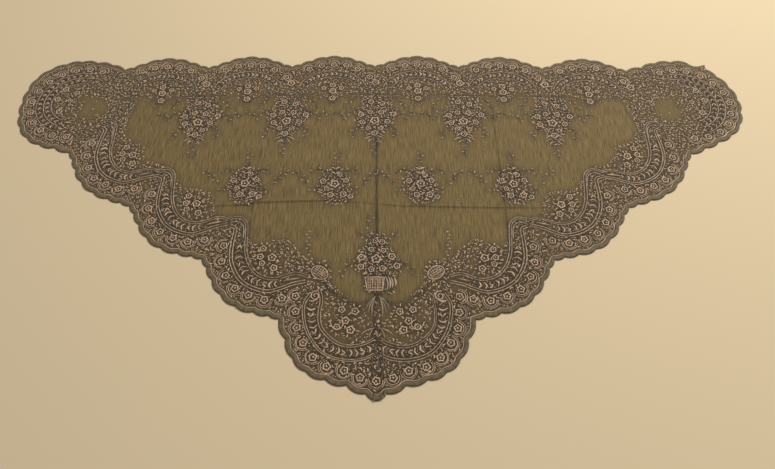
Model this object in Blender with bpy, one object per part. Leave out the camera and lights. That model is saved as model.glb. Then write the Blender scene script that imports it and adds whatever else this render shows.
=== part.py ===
"""Triangular lace mantilla laid flat: net ground, scalloped lace borders and applied flower sprays.

The plan is drawn in metres, +X to the right and +Y away from the viewer, and is moved a little so
that the origin is the middle of the cloth's box. The cloth lies on the plane Z = 0 and lifts off it
only along its creases. Outlines run anticlockwise as seen from above, with the cloth on their left.
"""

import math
from collections import namedtuple

import bmesh
import bpy
from mathutils import Vector
from mathutils.geometry import delaunay_2d_cdt

MM = 0.001
PLAN_SHIFT = (0.0006, -0.0027)

Lobe = namedtuple("Lobe", "start end bulge skew scallops")
Tip = namedtuple("Tip", "angle radius")
Station = namedtuple("Station", "x y height half_width")
Row = namedtuple("Row", "y left right")
Arc = namedtuple("Arc", "depth half_width half_depth")
Flower = namedtuple("Flower", "x y radius")
Finish = namedtuple("Finish", "name colour roughness")

# Walls, gaps and relief
NET_THICKNESS = 0.0010
LACE_THICKNESS = 0.0015
SPRAY_THICKNESS = 0.0010
GAP = 0.0003
EDGING_WIDTH = 0.0050
EDGING_SLOPE = 0.0015
EDGING_RISE = 0.0006
CORD_RISE = 0.0008
CORD_HALF_WIDTH = 0.0032
CORD_STEP = 0.018
FLOWER_RISE = 0.0010
FLOWER_RADIUS = 0.0070
FLOWER_PETALS = 5
FLOWER_NOTCH = 0.55
FLOWER_PITCH = 0.0290

# Scalloped edge: large lobes, each cut into small scallops that narrow towards the lobe's ends;
# the rise is a share of a scallop's width
SCALLOP_STEPS = 4
SCALLOP_RISE = 0.15
SCALLOP_SINK = 0.0009
SCALLOP_CROWD = 0.35
LOBE_POWER = 1.3
TIP_SCALLOPS = 14
CORNER_RISE = 0.0170
CORNER_SCALLOP = 9
POINT_RISE = 0.0095
SEAM_STEP = 0.016
CREASE_STEP = 0.036

# Waves of the top edge; its troughs sink a little towards the tips
WAVE_PITCH = 0.1710
WAVE_SHIFT = -0.0110
WAVE_HEIGHT = 0.3280
WAVE_FALL = 0.0115
WAVE_BULGE = 0.0280
WAVE_SCALLOPS = 7
WAVES_EACH_SIDE = 3
TOP_SEAM_HEIGHT = 0.2450
TOP_SEAM_RISE = 0.0060

# Deep notches between the lobes of the right side; the left side is its mirror image
NOTCH_TIP = (0.5816, 0.1047)
NOTCH_UPPER = (0.4424, -0.0135)
NOTCH_LOWER = (0.2970, -0.1175)
NOTCH_POINT = (0.1567, -0.2239)
POINT_END = (0.0160, -0.3420)

SIDE_LOBES = (
    Lobe(NOTCH_POINT, NOTCH_LOWER, bulge=0.0285, skew=1.0, scallops=7),
    Lobe(NOTCH_LOWER, NOTCH_UPPER, bulge=0.0275, skew=1.0, scallops=7),
    Lobe(NOTCH_UPPER, NOTCH_TIP, bulge=0.0260, skew=1.0, scallops=7),
)
POINT_LOBE = Lobe(POINT_END, NOTCH_POINT, bulge=0.0345, skew=1.2, scallops=6)

# The two round ends: distance from the tip's middle at angles from its outer side
TIP_MIDDLE = (0.6000, 0.2290)
RIGHT_TIP = (
    Tip(-98.4, 0.1256), Tip(-80.0, 0.1085), Tip(-40.0, 0.1075), Tip(-8.0, 0.1070), Tip(8.0, 0.1070),
    Tip(28.0, 0.1085), Tip(50.0, 0.1110), Tip(75.0, 0.1150), Tip(108.0, 0.1150), Tip(124.0, 0.1170),
)
LEFT_TIP = (
    Tip(-98.4, 0.1256), Tip(-84.0, 0.1145), Tip(-60.0, 0.1155), Tip(-36.0, 0.1135), Tip(-12.0, 0.1075),
    Tip(6.0, 0.1075), Tip(28.0, 0.1150), Tip(48.0, 0.1170), Tip(76.0, 0.1130), Tip(104.0, 0.1090),
    Tip(124.0, 0.1160),
)

# Inner edge of the borders, right half, from the middle of the point up to the top border
POINT_SEAM = ((0.0, -0.1900), (0.0280, -0.1930), (0.0550, -0.1820), (0.0800, -0.1560))
SIDE_SEAM = (
    (0.0800, -0.1560), (0.0770, -0.1340), (0.0890, -0.1180), (0.1080, -0.1180), (0.1280, -0.1100),
    (0.1450, -0.0880), (0.1700, -0.0780), (0.1950, -0.0870), (0.2190, -0.0830), (0.2260, -0.0600),
    (0.2400, -0.0410), (0.2620, -0.0340), (0.2830, -0.0360), (0.2910, -0.0120), (0.3000, 0.0140),
    (0.3250, 0.0220), (0.3520, 0.0240), (0.3660, 0.0420), (0.3850, 0.0700), (0.4150, 0.0800),
    (0.4370, 0.0980), (0.4470, 0.1240), (0.4750, 0.1330), (0.4920, 0.1650),
)
TIP_SEAM = ((0.4920, 0.1650), (0.4850, 0.2050), (0.4780, 0.2430))

# Creases left by the folded cloth: its middle line, half its height and both quarters
CREASES = (
    (
        Station(-0.0080, 0.3700, 0.0010, 0.006), Station(-0.0067, 0.2500, 0.0018, 0.007),
        Station(-0.0045, 0.1000, 0.0022, 0.007), Station(-0.0031, 0.0000, 0.0026, 0.008),
        Station(-0.0010, -0.1500, 0.0024, 0.008), Station(0.0000, -0.2600, 0.0032, 0.008),
        Station(0.0015, -0.3700, 0.0022, 0.007),
    ),
    (
        Station(-0.3700, -0.0130, 0.0, 0.005), Station(-0.3000, -0.0120, 0.0014, 0.006),
        Station(-0.2350, -0.0100, 0.0018, 0.006), Station(-0.2150, -0.0040, 0.0016, 0.006),
        Station(-0.1000, 0.0000, 0.0018, 0.006), Station(-0.0300, -0.0030, 0.0008, 0.006),
        Station(0.0450, -0.0110, 0.0012, 0.006), Station(0.2250, -0.0140, 0.0018, 0.006),
        Station(0.3300, -0.0120, 0.0, 0.005),
    ),
    (
        Station(-0.2200, 0.3300, 0.0, 0.005), Station(-0.2210, 0.1000, 0.0007, 0.006),
        Station(-0.2230, -0.0800, 0.0015, 0.006), Station(-0.2290, -0.2300, 0.0014, 0.006),
    ),
    (
        Station(0.2180, 0.3300, 0.0, 0.005), Station(0.2220, 0.1000, 0.0014, 0.006),
        Station(0.2240, -0.0600, 0.0018, 0.006), Station(0.2270, -0.2300, 0.0010, 0.006),
    ),
)

# Embroidered half ellipses inside each lobe, measured inwards from the line between its notches
ARC_MARGIN = math.radians(14.0)
LOBE_CORDS = (Arc(0.072, 0.068, 0.060), Arc(0.072, 0.044, 0.035))
LOBE_FLOWERS = Arc(0.072, 0.082, 0.076)
WAVE_CORDS = (Arc(0.062, 0.066, 0.050), Arc(0.062, 0.042, 0.028))
WAVE_FLOWERS = Arc(0.062, 0.076, 0.062)
POINT_LINE = ((-0.130, -0.200), (0.130, -0.200))
POINT_CORDS = (Arc(0.0, 0.121, 0.094), Arc(0.0, 0.098, 0.066))
POINT_FLOWERS = Arc(0.0, 0.130, 0.121)
TIP_CORD_RADII = (0.069, 0.0525)
TIP_FLOWER_RADIUS = 0.085
TIP_SPREAD = (math.radians(-75.0), math.radians(118.0))

# Bunches of flowers within the arcs
BUNCH = (Flower(-0.019, 0.062, 0.0080), Flower(0.0, 0.078, 0.0095), Flower(0.020, 0.064, 0.0080))
WAVE_BUNCH = (Flower(-0.012, 0.058, 0.0080), Flower(0.006, 0.073, 0.0095))
POINT_BUNCH = (Flower(0.042, -0.210, 0.0085), Flower(0.064, -0.222, 0.0080), Flower(0.042, -0.236, 0.0080))
TIP_BUNCH = (
    Flower(0.630, 0.262, 0.0085), Flower(0.640, 0.232, 0.0085), Flower(0.628, 0.203, 0.0085),
    Flower(0.606, 0.252, 0.0080),
)
SHELL = Flower(0.0970, -0.1380, 0.0140)

# Applied sprays: an outline with one row for each height, left and right of the spray's axis
SPRAY = (
    Row(0.2420, -0.018, 0.034), Row(0.2220, -0.017, 0.034), Row(0.2080, -0.024, 0.040),
    Row(0.1970, -0.036, 0.046), Row(0.1820, -0.034, 0.038), Row(0.1680, -0.026, 0.028),
    Row(0.1560, -0.016, 0.017), Row(0.1470, -0.012, 0.013), Row(0.1380, -0.015, 0.011),
    Row(0.1300, -0.006, 0.006), Row(0.1150, -0.003, 0.004), Row(0.1000, -0.003, 0.002),
)
SPRAY_FLOWERS = (
    Flower(-0.024, 0.190, 0.0070), Flower(0.000, 0.181, 0.0095), Flower(0.027, 0.181, 0.0070),
    Flower(0.033, 0.199, 0.0070), Flower(0.007, 0.207, 0.0080), Flower(0.0, 0.157, 0.0070),
    Flower(0.008, 0.230, 0.0080),
)
SPRAY_SHIFT = 0.0010
SPRAYS_EACH_SIDE = 2
SPRIG = (
    Row(0.0780, -0.006, 0.006), Row(0.0660, -0.014, 0.012), Row(0.0520, -0.026, 0.020),
    Row(0.0400, -0.031, 0.028), Row(0.0260, -0.028, 0.032), Row(0.0120, -0.023, 0.034),
    Row(0.0020, -0.018, 0.024), Row(-0.0060, -0.008, 0.008),
)
SPRIG_FLOWERS = (
    Flower(-0.021, 0.041, 0.0070), Flower(0.001, 0.037, 0.0095), Flower(-0.005, 0.014, 0.0070),
    Flower(0.017, 0.014, 0.0070), Flower(0.0, 0.061, 0.0070),
)
SPRIG_AXES = (-0.2430, -0.0800, 0.0750, 0.2430)
CENTRE_SPRAY = (
    Row(-0.0300, -0.016, -0.011), Row(-0.0550, -0.014, -0.007), Row(-0.0680, -0.016, 0.010),
    Row(-0.0820, -0.015, 0.014), Row(-0.0950, -0.022, 0.020), Row(-0.1060, -0.040, 0.032),
    Row(-0.1180, -0.040, 0.036), Row(-0.1300, -0.037, 0.040), Row(-0.1420, -0.028, 0.038),
    Row(-0.1530, -0.022, 0.036), Row(-0.1660, -0.021, 0.034), Row(-0.1760, -0.018, 0.028),
    Row(-0.1820, -0.006, 0.008),
)
CENTRE_FLOWERS = (
    Flower(-0.001, -0.080, 0.0075), Flower(-0.027, -0.112, 0.0070), Flower(-0.001, -0.113, 0.0095),
    Flower(0.023, -0.111, 0.0075), Flower(0.028, -0.130, 0.0070), Flower(-0.025, -0.131, 0.0070),
    Flower(0.004, -0.158, 0.0110),
)
ROW_STEP = 0.010

NET = Finish("Net tulle", (0.166, 0.125, 0.057, 1.0), 0.85)
LACE = Finish("Embroidered lace", (0.168, 0.119, 0.080, 1.0), 0.75)
EMBROIDERY = Finish("Raised embroidery", (0.205, 0.155, 0.105, 1.0), 0.70)


def mirrored(points):
    """Return a line mirrored to the other half, turned round so that it still runs anticlockwise."""
    return [(-x, y) for x, y in reversed(points)]


def smooth_line(points, step):
    """Return points about one step apart on a Catmull-Rom curve through the given ones."""
    ends = [points[0], *points, points[-1]]
    line = []
    for before, start, end, after in zip(ends, ends[1:], ends[2:], ends[3:]):
        count = max(1, round(math.dist(start, end) / step))
        for index in range(count):
            t = index / count
            line.append(tuple(
                0.5 * (2 * b + (c - a) * t + (2 * a - 5 * b + 4 * c - d) * t ** 2
                       + (3 * b - a - 3 * c + d) * t ** 3)
                for a, b, c, d in zip(before, start, end, after)
            ))
    line.append(tuple(points[-1]))
    return line


def shifted(points, distance, closed=False):
    """Return a line moved to its left by a distance, with mitred corners."""
    moved = []
    for index, point in enumerate(points):
        before = points[index - 1] if closed or index else None
        after = points[(index + 1) % len(points)] if closed or index + 1 < len(points) else None
        lefts = []
        for start, end in ((before, point), (point, after)):
            if start and end:
                run = Vector(end) - Vector(start)
                lefts.append(Vector((-run.y, run.x)).normalized())
        left = sum(lefts, Vector((0.0, 0.0))).normalized()
        mitre = min(1.6, 1.0 / max(0.1, left.dot(lefts[0])))
        moved.append(tuple(Vector(point) + left * distance * mitre))
    return moved


def crowded(t, crowd):
    """Return a place along a lobe, 0 to 1, moved from its middle towards the nearer end."""
    return t - crowd * math.sin(2.0 * math.pi * t) / (2.0 * math.pi)


def scalloped(curve, count, crowd=0.0):
    """Return an edge that swings outwards in small arcs between points of a curve of t, 0 to 1."""
    edge = []
    for index in range(count):
        start = curve(crowded(index / count, crowd))
        end = curve(crowded((index + 1) / count, crowd))
        rise = SCALLOP_RISE * (end - start).length
        outward = Vector((end.y - start.y, start.x - end.x)).normalized()
        for step in range(SCALLOP_STEPS):
            u = step / SCALLOP_STEPS
            swing = rise * 4.0 * u * (1.0 - u) - SCALLOP_SINK
            edge.append(tuple(start.lerp(end, u) + outward * swing))
    return [*edge, tuple(curve(1.0))]


def lobe_curve(lobe):
    """Return the curve of one large lobe, which swells out from the line between its notches."""
    start = Vector(lobe.start)
    chord = Vector(lobe.end) - start
    outward = Vector((chord.y, -chord.x)).normalized()

    def curve(t):
        swell = max(0.0, math.sin(math.pi * t ** lobe.skew)) ** LOBE_POWER
        return start + chord * t + outward * lobe.bulge * swell

    return curve


def trough(index):
    """Return one trough of the top edge, counted from the middle."""
    sink = WAVE_FALL * (index / WAVES_EACH_SIDE) ** 2
    return (WAVE_PITCH * index + WAVE_SHIFT, WAVE_HEIGHT - sink)


def waves():
    """Return the lobes of the top edge, from right to left."""
    starts = range(WAVES_EACH_SIDE, -WAVES_EACH_SIDE, -1)
    return [Lobe(trough(i), trough(i - 1), WAVE_BULGE, 1.0, WAVE_SCALLOPS) for i in starts]


def top_edge():
    """Return the waved top edge, from right to left."""
    edge = []
    for wave in waves():
        edge += scalloped(lobe_curve(wave), wave.scallops, SCALLOP_CROWD)[:-1]
    return [*edge, trough(-WAVES_EACH_SIDE)]


def side_edge():
    """Return the edge of the right side, from the point up to the tip."""
    edge = []
    for lobe in SIDE_LOBES:
        edge += scalloped(lobe_curve(lobe), lobe.scallops, SCALLOP_CROWD)[:-1]
    return [*edge, NOTCH_TIP]


def point_edge():
    """Return the edge of the point, from its left notch round to its right one."""
    right = scalloped(lobe_curve(POINT_LOBE), POINT_LOBE.scallops)
    middle = []
    for step in range(1, 2 * SCALLOP_STEPS):
        u = step / (2 * SCALLOP_STEPS)
        depth = POINT_RISE * math.sin(math.pi * u) ** 0.8
        middle.append((POINT_END[0] * (2.0 * u - 1.0), POINT_END[1] - depth))
    return [*mirrored(right), *middle, *right]


def tip_edge(stations, end):
    """Return the edge round the right tip, from its notch to a trough of the top edge."""
    middle = Vector(TIP_MIDDLE)
    turned = []
    for station in stations:
        angle = math.radians(station.angle)
        turned.append(tuple(middle + station.radius * Vector((math.cos(angle), math.sin(angle)))))
    line = smooth_line([*turned, end], 4 * MM)
    travelled = [0.0]
    for start, stop in zip(line, line[1:]):
        travelled.append(travelled[-1] + math.dist(start, stop))

    def curve(t):
        target = t * travelled[-1]
        index = next((i for i, way in enumerate(travelled) if i and way >= target), len(line) - 1)
        share = (target - travelled[index - 1]) / (travelled[index] - travelled[index - 1])
        return Vector(line[index - 1]).lerp(Vector(line[index]), share)

    return scalloped(curve, TIP_SCALLOPS)


def right_tip_edge():
    """Return the right tip's edge, where the cloth is turned up into a pointed corner."""
    edge = tip_edge(RIGHT_TIP, trough(WAVES_EACH_SIDE))
    corner = CORNER_SCALLOP * SCALLOP_STEPS
    outward = (Vector(edge[corner]) - Vector(TIP_MIDDLE)).normalized()
    edge[corner] = tuple(Vector(edge[corner]) + outward * CORNER_RISE)
    return edge


def left_tip_edge():
    """Return the left tip's edge, from the top edge round to its notch."""
    x, y = trough(-WAVES_EACH_SIDE)
    return mirrored(tip_edge(LEFT_TIP, (-x, y)))


def whole_edge():
    """Return the closed edge of the whole cloth."""
    lines = (top_edge(), left_tip_edge(), mirrored(side_edge()), point_edge(), side_edge(), right_tip_edge())
    return [point for line in lines for point in line[:-1]]


def top_seam():
    """Return the seam under the top border, from left to right: a low wave, deepest at the crests."""
    right, height = TIP_SEAM[-1]
    count = round(2.0 * right / SEAM_STEP)
    seam = [(-right, height)]
    for index in range(1, count):
        x = right * (2.0 * index / count - 1.0)
        phase = 2.0 * math.pi * (x - WAVE_SHIFT) / WAVE_PITCH
        seam.append((x, TOP_SEAM_HEIGHT + TOP_SEAM_RISE * math.cos(phase)))
    return [*seam, (right, height)]


def ridge_height(stations, x, y):
    """Return the height at a plan point of a ridge whose crest runs through the stations."""
    highest = 0.0
    for start, end in zip(stations, stations[1:]):
        run_x, run_y = end.x - start.x, end.y - start.y
        t = ((x - start.x) * run_x + (y - start.y) * run_y) / (run_x ** 2 + run_y ** 2)
        t = min(1.0, max(0.0, t))
        away = math.hypot(x - start.x - run_x * t, y - start.y - run_y * t)
        height = start.height + (end.height - start.height) * t
        half_width = start.half_width + (end.half_width - start.half_width) * t
        highest = max(highest, height * (1.0 - away / half_width))
    return highest


def ridge_lines(stations):
    """Return a ridge's crest line and the two lines at its feet."""
    crest = [(station.x, station.y) for station in stations]
    lines = [crest]
    for side in (1.0, -1.0):
        beside = shifted(crest, side)
        lines.append([
            tuple(Vector(on).lerp(Vector(off), station.half_width))
            for on, off, station in zip(crest, beside, stations)
        ])
    return lines


def divided(stations, step):
    """Return a ridge's stations with more of them between, so that they are at most a step apart."""
    closer = []
    for start, end in zip(stations, stations[1:]):
        count = math.ceil(math.hypot(end.x - start.x, end.y - start.y) / step)
        for index in range(count):
            closer.append(Station(*(a + (b - a) * index / count for a, b in zip(start, end))))
    return [*closer, stations[-1]]


def lift(x, y):
    """Return how far the underside of the cloth stands off the floor at a plan point."""
    return max(ridge_height(crease, x, y) for crease in CREASES)


def distance_to_line(line, x, y):
    """Return the shortest distance from a plan point to a line."""
    nearest = math.inf
    for (ax, ay), (bx, by) in zip(line, line[1:]):
        run_x, run_y = bx - ax, by - ay
        t = ((x - ax) * run_x + (y - ay) * run_y) / (run_x ** 2 + run_y ** 2)
        t = min(1.0, max(0.0, t))
        nearest = min(nearest, math.hypot(x - ax - run_x * t, y - ay - run_y * t))
    return nearest


def inside(polygon, x, y):
    """Tell whether a plan point lies inside a closed polygon."""
    found = False
    for (ax, ay), (bx, by) in zip(polygon, polygon[1:] + polygon[:1]):
        if (ay > y) != (by > y) and x < (bx - ax) * (y - ay) / (by - ay) + ax:
            found = not found
    return found


def flower_ring(flower):
    """Return a flower's outline: the petals' tips and the notches between them."""
    ring = []
    for index in range(2 * FLOWER_PETALS):
        angle = math.pi * (index / FLOWER_PETALS + 0.5)
        radius = flower.radius * (FLOWER_NOTCH if index % 2 else 1.0)
        ring.append((flower.x + radius * math.cos(angle), flower.y + radius * math.sin(angle)))
    return [*ring, ring[0]]


def arc_line(arc, notches, step):
    """Return points about one step apart on a half ellipse that opens inwards from a lobe's line."""
    start, end = Vector(notches[0]), Vector(notches[1])
    along = (end - start).normalized()
    inward = Vector((-along.y, along.x))
    middle = (start + end) / 2 + inward * arc.depth
    turn = math.pi - 2.0 * ARC_MARGIN
    count = round(turn * (arc.half_width + arc.half_depth) / 2 / step)
    line = []
    for index in range(count + 1):
        angle = ARC_MARGIN + turn * index / count
        offset = along * arc.half_width * math.cos(angle) - inward * arc.half_depth * math.sin(angle)
        line.append(tuple(middle + offset))
    return line


def tip_arc(radius, step):
    """Return points about one step apart on a round arc inside the right tip."""
    start, end = TIP_SPREAD
    count = round((end - start) * radius / step)
    line = []
    for index in range(count + 1):
        angle = start + (end - start) * index / count
        line.append((TIP_MIDDLE[0] + radius * math.cos(angle), TIP_MIDDLE[1] + radius * math.sin(angle)))
    return line


def placed(flowers, notches):
    """Return a lobe's flowers as plan flowers, from places along the lobe's line and inwards of it."""
    start, end = Vector(notches[0]), Vector(notches[1])
    along = (end - start).normalized()
    inward = Vector((-along.y, along.x))
    spots = [((start + end) / 2 + along * f.x + inward * f.y, f.radius) for f in flowers]
    return [Flower(spot.x, spot.y, radius) for spot, radius in spots]


def spaced(flowers):
    """Return the flowers without those that would touch an earlier one."""
    kept = []
    for flower in flowers:
        if all(math.hypot(flower.x - f.x, flower.y - f.y) > flower.radius + f.radius for f in kept):
            kept.append(flower)
    return kept


def border_cords_and_flowers():
    """Return the raised cords, as lists of plan points, and the raised flowers of all the borders."""
    cords = []
    flowers = []
    for lobe in SIDE_LOBES:
        notches = (lobe.start, lobe.end)
        cords += [arc_line(arc, notches, CORD_STEP) for arc in LOBE_CORDS]
        flowers += [Flower(x, y, FLOWER_RADIUS) for x, y in arc_line(LOBE_FLOWERS, notches, FLOWER_PITCH)]
        flowers += placed(BUNCH, notches)
    cords += [tip_arc(radius, CORD_STEP) for radius in TIP_CORD_RADII]
    flowers += [Flower(x, y, FLOWER_RADIUS) for x, y in tip_arc(TIP_FLOWER_RADIUS, FLOWER_PITCH)]
    flowers += [*TIP_BUNCH, *POINT_BUNCH, SHELL]
    cords += [mirrored(cord) for cord in cords]
    flowers += [Flower(-f.x, f.y, f.radius) for f in flowers]
    for wave in waves():
        notches = (wave.start, wave.end)
        cords += [arc_line(arc, notches, CORD_STEP) for arc in WAVE_CORDS]
        flowers += [Flower(x, y, FLOWER_RADIUS) for x, y in arc_line(WAVE_FLOWERS, notches, FLOWER_PITCH)]
        flowers += placed(WAVE_BUNCH, notches)
    cords += [arc_line(arc, POINT_LINE, CORD_STEP) for arc in POINT_CORDS]
    flowers += [Flower(x, y, FLOWER_RADIUS) for x, y in arc_line(POINT_FLOWERS, POINT_LINE, FLOWER_PITCH)]
    return cords, spaced(flowers)


class Relief:
    """The raised forms on one panel: its edging, its cords and its flowers."""

    def __init__(self, edge, cords, flowers):
        """Keep the closed edge, the cords' stations and the flowers."""
        self.edge = edge
        self.cords = cords
        self.flowers = flowers

    def lines(self):
        """Return the lines along which the raised forms begin, bend or end."""
        found = []
        if self.edge:
            for distance in (EDGING_WIDTH, EDGING_WIDTH + EDGING_SLOPE):
                line = shifted(self.edge[:-1], distance, closed=True)
                found.append([*line, line[0]])
        for cord in self.cords:
            found += ridge_lines(cord)
        found += [flower_ring(flower) for flower in self.flowers]
        return found

    def height(self, x, y):
        """Return the relief at a plan point."""
        raised = 0.0
        if self.edge:
            away = distance_to_line(self.edge, x, y)
            raised = EDGING_RISE * min(1.0, (EDGING_WIDTH + EDGING_SLOPE - away) / EDGING_SLOPE)
        for cord in self.cords:
            raised = max(raised, ridge_height(cord, x, y))
        for flower in self.flowers:
            away = math.hypot(x - flower.x, y - flower.y) / (FLOWER_NOTCH * flower.radius)
            raised = max(raised, FLOWER_RISE * (1.0 - away))
        return max(0.0, raised)


def relief_for(polygon, edge, cords, flowers):
    """Return the relief of one panel, with the flowers that lie clear of its seams."""
    stations = [[Station(x, y, CORD_RISE, CORD_HALF_WIDTH) for x, y in cord] for cord in cords]
    own_cords = [cord for cord in stations if inside(polygon, cord[len(cord) // 2].x, cord[len(cord) // 2].y)]
    closed = [*polygon, polygon[0]]
    own_flowers = []
    for flower in flowers:
        clear = distance_to_line(closed, flower.x, flower.y) > flower.radius + MM
        if clear and inside(polygon, flower.x, flower.y):
            own_flowers.append(flower)
    return Relief(edge, own_cords, own_flowers)


def plan_triangles(polygon, lines, spots):
    """Return the points and triangles that fill a polygon and follow every line drawn on it."""
    points = [Vector((x, y)) / MM for x, y in polygon]
    edges = [(index, (index + 1) % len(polygon)) for index in range(len(polygon))]
    for line in lines:
        first = len(points)
        points += [Vector((x, y)) / MM for x, y in line]
        edges += [(first + index, first + index + 1) for index in range(len(line) - 1)]
    points += [Vector((x, y)) / MM for x, y in spots]
    found, _, faces, _, _, _ = delaunay_2d_cdt(points, edges, [], 0, 0.01, True)
    plan = [(point.x * MM, point.y * MM) for point in found]
    kept = []
    for face in faces:
        middle_x = sum(plan[index][0] for index in face) / len(face)
        middle_y = sum(plan[index][1] for index in face) / len(face)
        if inside(polygon, middle_x, middle_y):
            kept.append(face)
    return plan, kept


def cloth_wall(name, polygon, base, thickness, relief, finish):
    """Make one panel: its plan is filled, lifted along the creases and extruded to its thickness."""
    polygon = shifted(polygon, GAP / 2, closed=True)
    lines = relief.lines()
    for crease in CREASES:
        lines += ridge_lines(divided(crease, CREASE_STEP))
    spots = [(flower.x, flower.y) for flower in relief.flowers]
    plan, triangles = plan_triangles(polygon, lines, spots)

    bm = bmesh.new()
    sheet = {}
    for triangle in triangles:
        for index in triangle:
            if index not in sheet:
                x, y = plan[index]
                sheet[index] = bm.verts.new((x, y, base + lift(x, y)))
        bm.faces.new([sheet[index] for index in triangle])
    underside = bm.faces[:]
    wall = bmesh.ops.extrude_face_region(bm, geom=underside)
    for vert in wall["geom"]:
        if isinstance(vert, bmesh.types.BMVert):
            vert.co.z += thickness + relief.height(vert.co.x, vert.co.y)
    bmesh.ops.translate(bm, vec=(*PLAN_SHIFT, 0.0), verts=bm.verts)
    bmesh.ops.recalc_face_normals(bm, faces=bm.faces)
    flat_edges = list(dict.fromkeys(edge for face in underside for edge in face.edges))
    bmesh.ops.dissolve_limit(bm, angle_limit=0.002, verts=[], edges=flat_edges)
    bmesh.ops.triangulate(bm, faces=bm.faces)

    mesh = bpy.data.meshes.new(name)
    bm.to_mesh(mesh)
    bm.free()
    panel = bpy.data.objects.new(name, mesh)
    panel.data.materials.append(material(finish))
    bpy.context.scene.collection.objects.link(panel)


def material(finish):
    """Return the plain material of one finish."""
    found = bpy.data.materials.get(finish.name)
    if found:
        return found
    made = bpy.data.materials.new(finish.name)
    made.use_nodes = True
    shader = made.node_tree.nodes["Principled BSDF"]
    shader.inputs["Base Color"].default_value = finish.colour
    shader.inputs["Roughness"].default_value = finish.roughness
    shader.inputs["Metallic"].default_value = 0.0
    return made


def applied_spray(name, rows, axis, drop, flowers):
    """Make one spray of flowers that lies on the net, with its outline drawn through its rows."""
    rights = [(axis + row.right, row.y - drop) for row in reversed(rows)]
    lefts = [(axis + row.left, row.y - drop) for row in rows]
    polygon = smooth_line(rights, ROW_STEP) + smooth_line(lefts, ROW_STEP)
    own = [Flower(axis + f.x, f.y - drop, f.radius) for f in flowers]
    relief = Relief(None, [], own)
    cloth_wall(name, polygon, NET_THICKNESS + GAP, SPRAY_THICKNESS, relief, EMBROIDERY)


def build_borders():
    """Make the lace borders: the top, both tips, both sides and the point."""
    edge = whole_edge()
    closed_edge = [*edge, edge[0]]
    cords, flowers = border_cords_and_flowers()
    side_seam = smooth_line(SIDE_SEAM, SEAM_STEP)
    tip_seam = smooth_line(TIP_SEAM, SEAM_STEP)
    point_seam = smooth_line(POINT_SEAM, SEAM_STEP)
    right_side = side_edge() + side_seam[::-1]
    panels = {
        "border_top": top_edge() + top_seam(),
        "border_tip_right": right_tip_edge() + tip_seam[::-1],
        "border_tip_left": mirrored(tip_seam[::-1]) + left_tip_edge(),
        "border_side_right": right_side,
        "border_side_left": mirrored(right_side),
        "border_point": point_edge() + point_seam[::-1] + mirrored(point_seam[::-1])[1:],
    }
    for name, polygon in panels.items():
        relief = relief_for(polygon, closed_edge, cords, flowers)
        cloth_wall(name, polygon, 0.0, LACE_THICKNESS, relief, LACE)


def build_ground():
    """Make the net ground inside the borders."""
    half = smooth_line(POINT_SEAM, SEAM_STEP)[:-1] + smooth_line(SIDE_SEAM, SEAM_STEP)[:-1]
    half += smooth_line(TIP_SEAM, SEAM_STEP)
    polygon = half[:-1] + top_seam()[::-1] + mirrored(half)[1:-1]
    cloth_wall("net_ground", polygon, 0.0, NET_THICKNESS, Relief(None, [], []), NET)


def build_sprays():
    """Make the sprays under the troughs of the top edge, the sprigs and the middle spray."""
    for number, index in enumerate(range(-SPRAYS_EACH_SIDE, SPRAYS_EACH_SIDE + 1), start=1):
        x, y = trough(index)
        applied_spray(f"spray_{number}", SPRAY, x + SPRAY_SHIFT, WAVE_HEIGHT - y, SPRAY_FLOWERS)
    for number, axis in enumerate(SPRIG_AXES, start=1):
        applied_spray(f"sprig_{number}", SPRIG, axis, 0.0, SPRIG_FLOWERS)
    applied_spray("spray_centre", CENTRE_SPRAY, 0.0, 0.0, CENTRE_FLOWERS)


def main():
    """Clear the scene and make every piece of the mantilla."""
    for old in list(bpy.data.objects):
        bpy.data.objects.remove(old)
    build_ground()
    build_borders()
    build_sprays()


main()
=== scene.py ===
"""Looks of a triangular lace mantilla that lies flat: net, scalloped lace borders and embroidery.

The plan is drawn in millimetres, +X to the right and +Y from the point towards the long side. Outlines
run anticlockwise, with the cloth on their left. Every piece is drawn flat on the plan first and is then
laid on the cloth's own surface, so that threads follow its fold lines.
"""

from __future__ import annotations

import logging
import math
from dataclasses import dataclass, field
from enum import Enum
from typing import Callable, Iterable, Sequence

import bpy
import numpy as np
from mathutils import Matrix, Vector
from mathutils.geometry import delaunay_2d_cdt

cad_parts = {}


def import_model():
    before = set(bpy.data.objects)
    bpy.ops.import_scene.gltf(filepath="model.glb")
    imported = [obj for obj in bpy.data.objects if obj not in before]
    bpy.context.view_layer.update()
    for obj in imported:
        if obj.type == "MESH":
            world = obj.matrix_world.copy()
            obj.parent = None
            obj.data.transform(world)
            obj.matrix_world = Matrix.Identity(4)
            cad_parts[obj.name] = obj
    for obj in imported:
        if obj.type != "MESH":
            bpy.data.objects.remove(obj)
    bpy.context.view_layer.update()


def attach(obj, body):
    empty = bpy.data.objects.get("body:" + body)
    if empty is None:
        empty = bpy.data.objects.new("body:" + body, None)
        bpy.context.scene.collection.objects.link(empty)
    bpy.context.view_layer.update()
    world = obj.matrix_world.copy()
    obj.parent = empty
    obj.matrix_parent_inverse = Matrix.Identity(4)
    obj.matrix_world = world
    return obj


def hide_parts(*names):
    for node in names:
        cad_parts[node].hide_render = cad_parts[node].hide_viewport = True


LOG = logging.getLogger("mantilla")
MM = 0.001
PLAN_SHIFT = (0.0006, -0.0027)
Point = tuple[float, float]
Line = tuple[Point, ...]
Pairs = tuple[tuple[float, float], ...]
Triple = tuple[float, float, float]
Flowers = tuple[Triple, ...]
Colour = Triple


def mirrored(line: np.ndarray) -> np.ndarray:
    """Return a line mirrored to the other half of the cloth, turned round to stay anticlockwise."""
    return (line * (-1.0, 1.0))[::-1]


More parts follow.
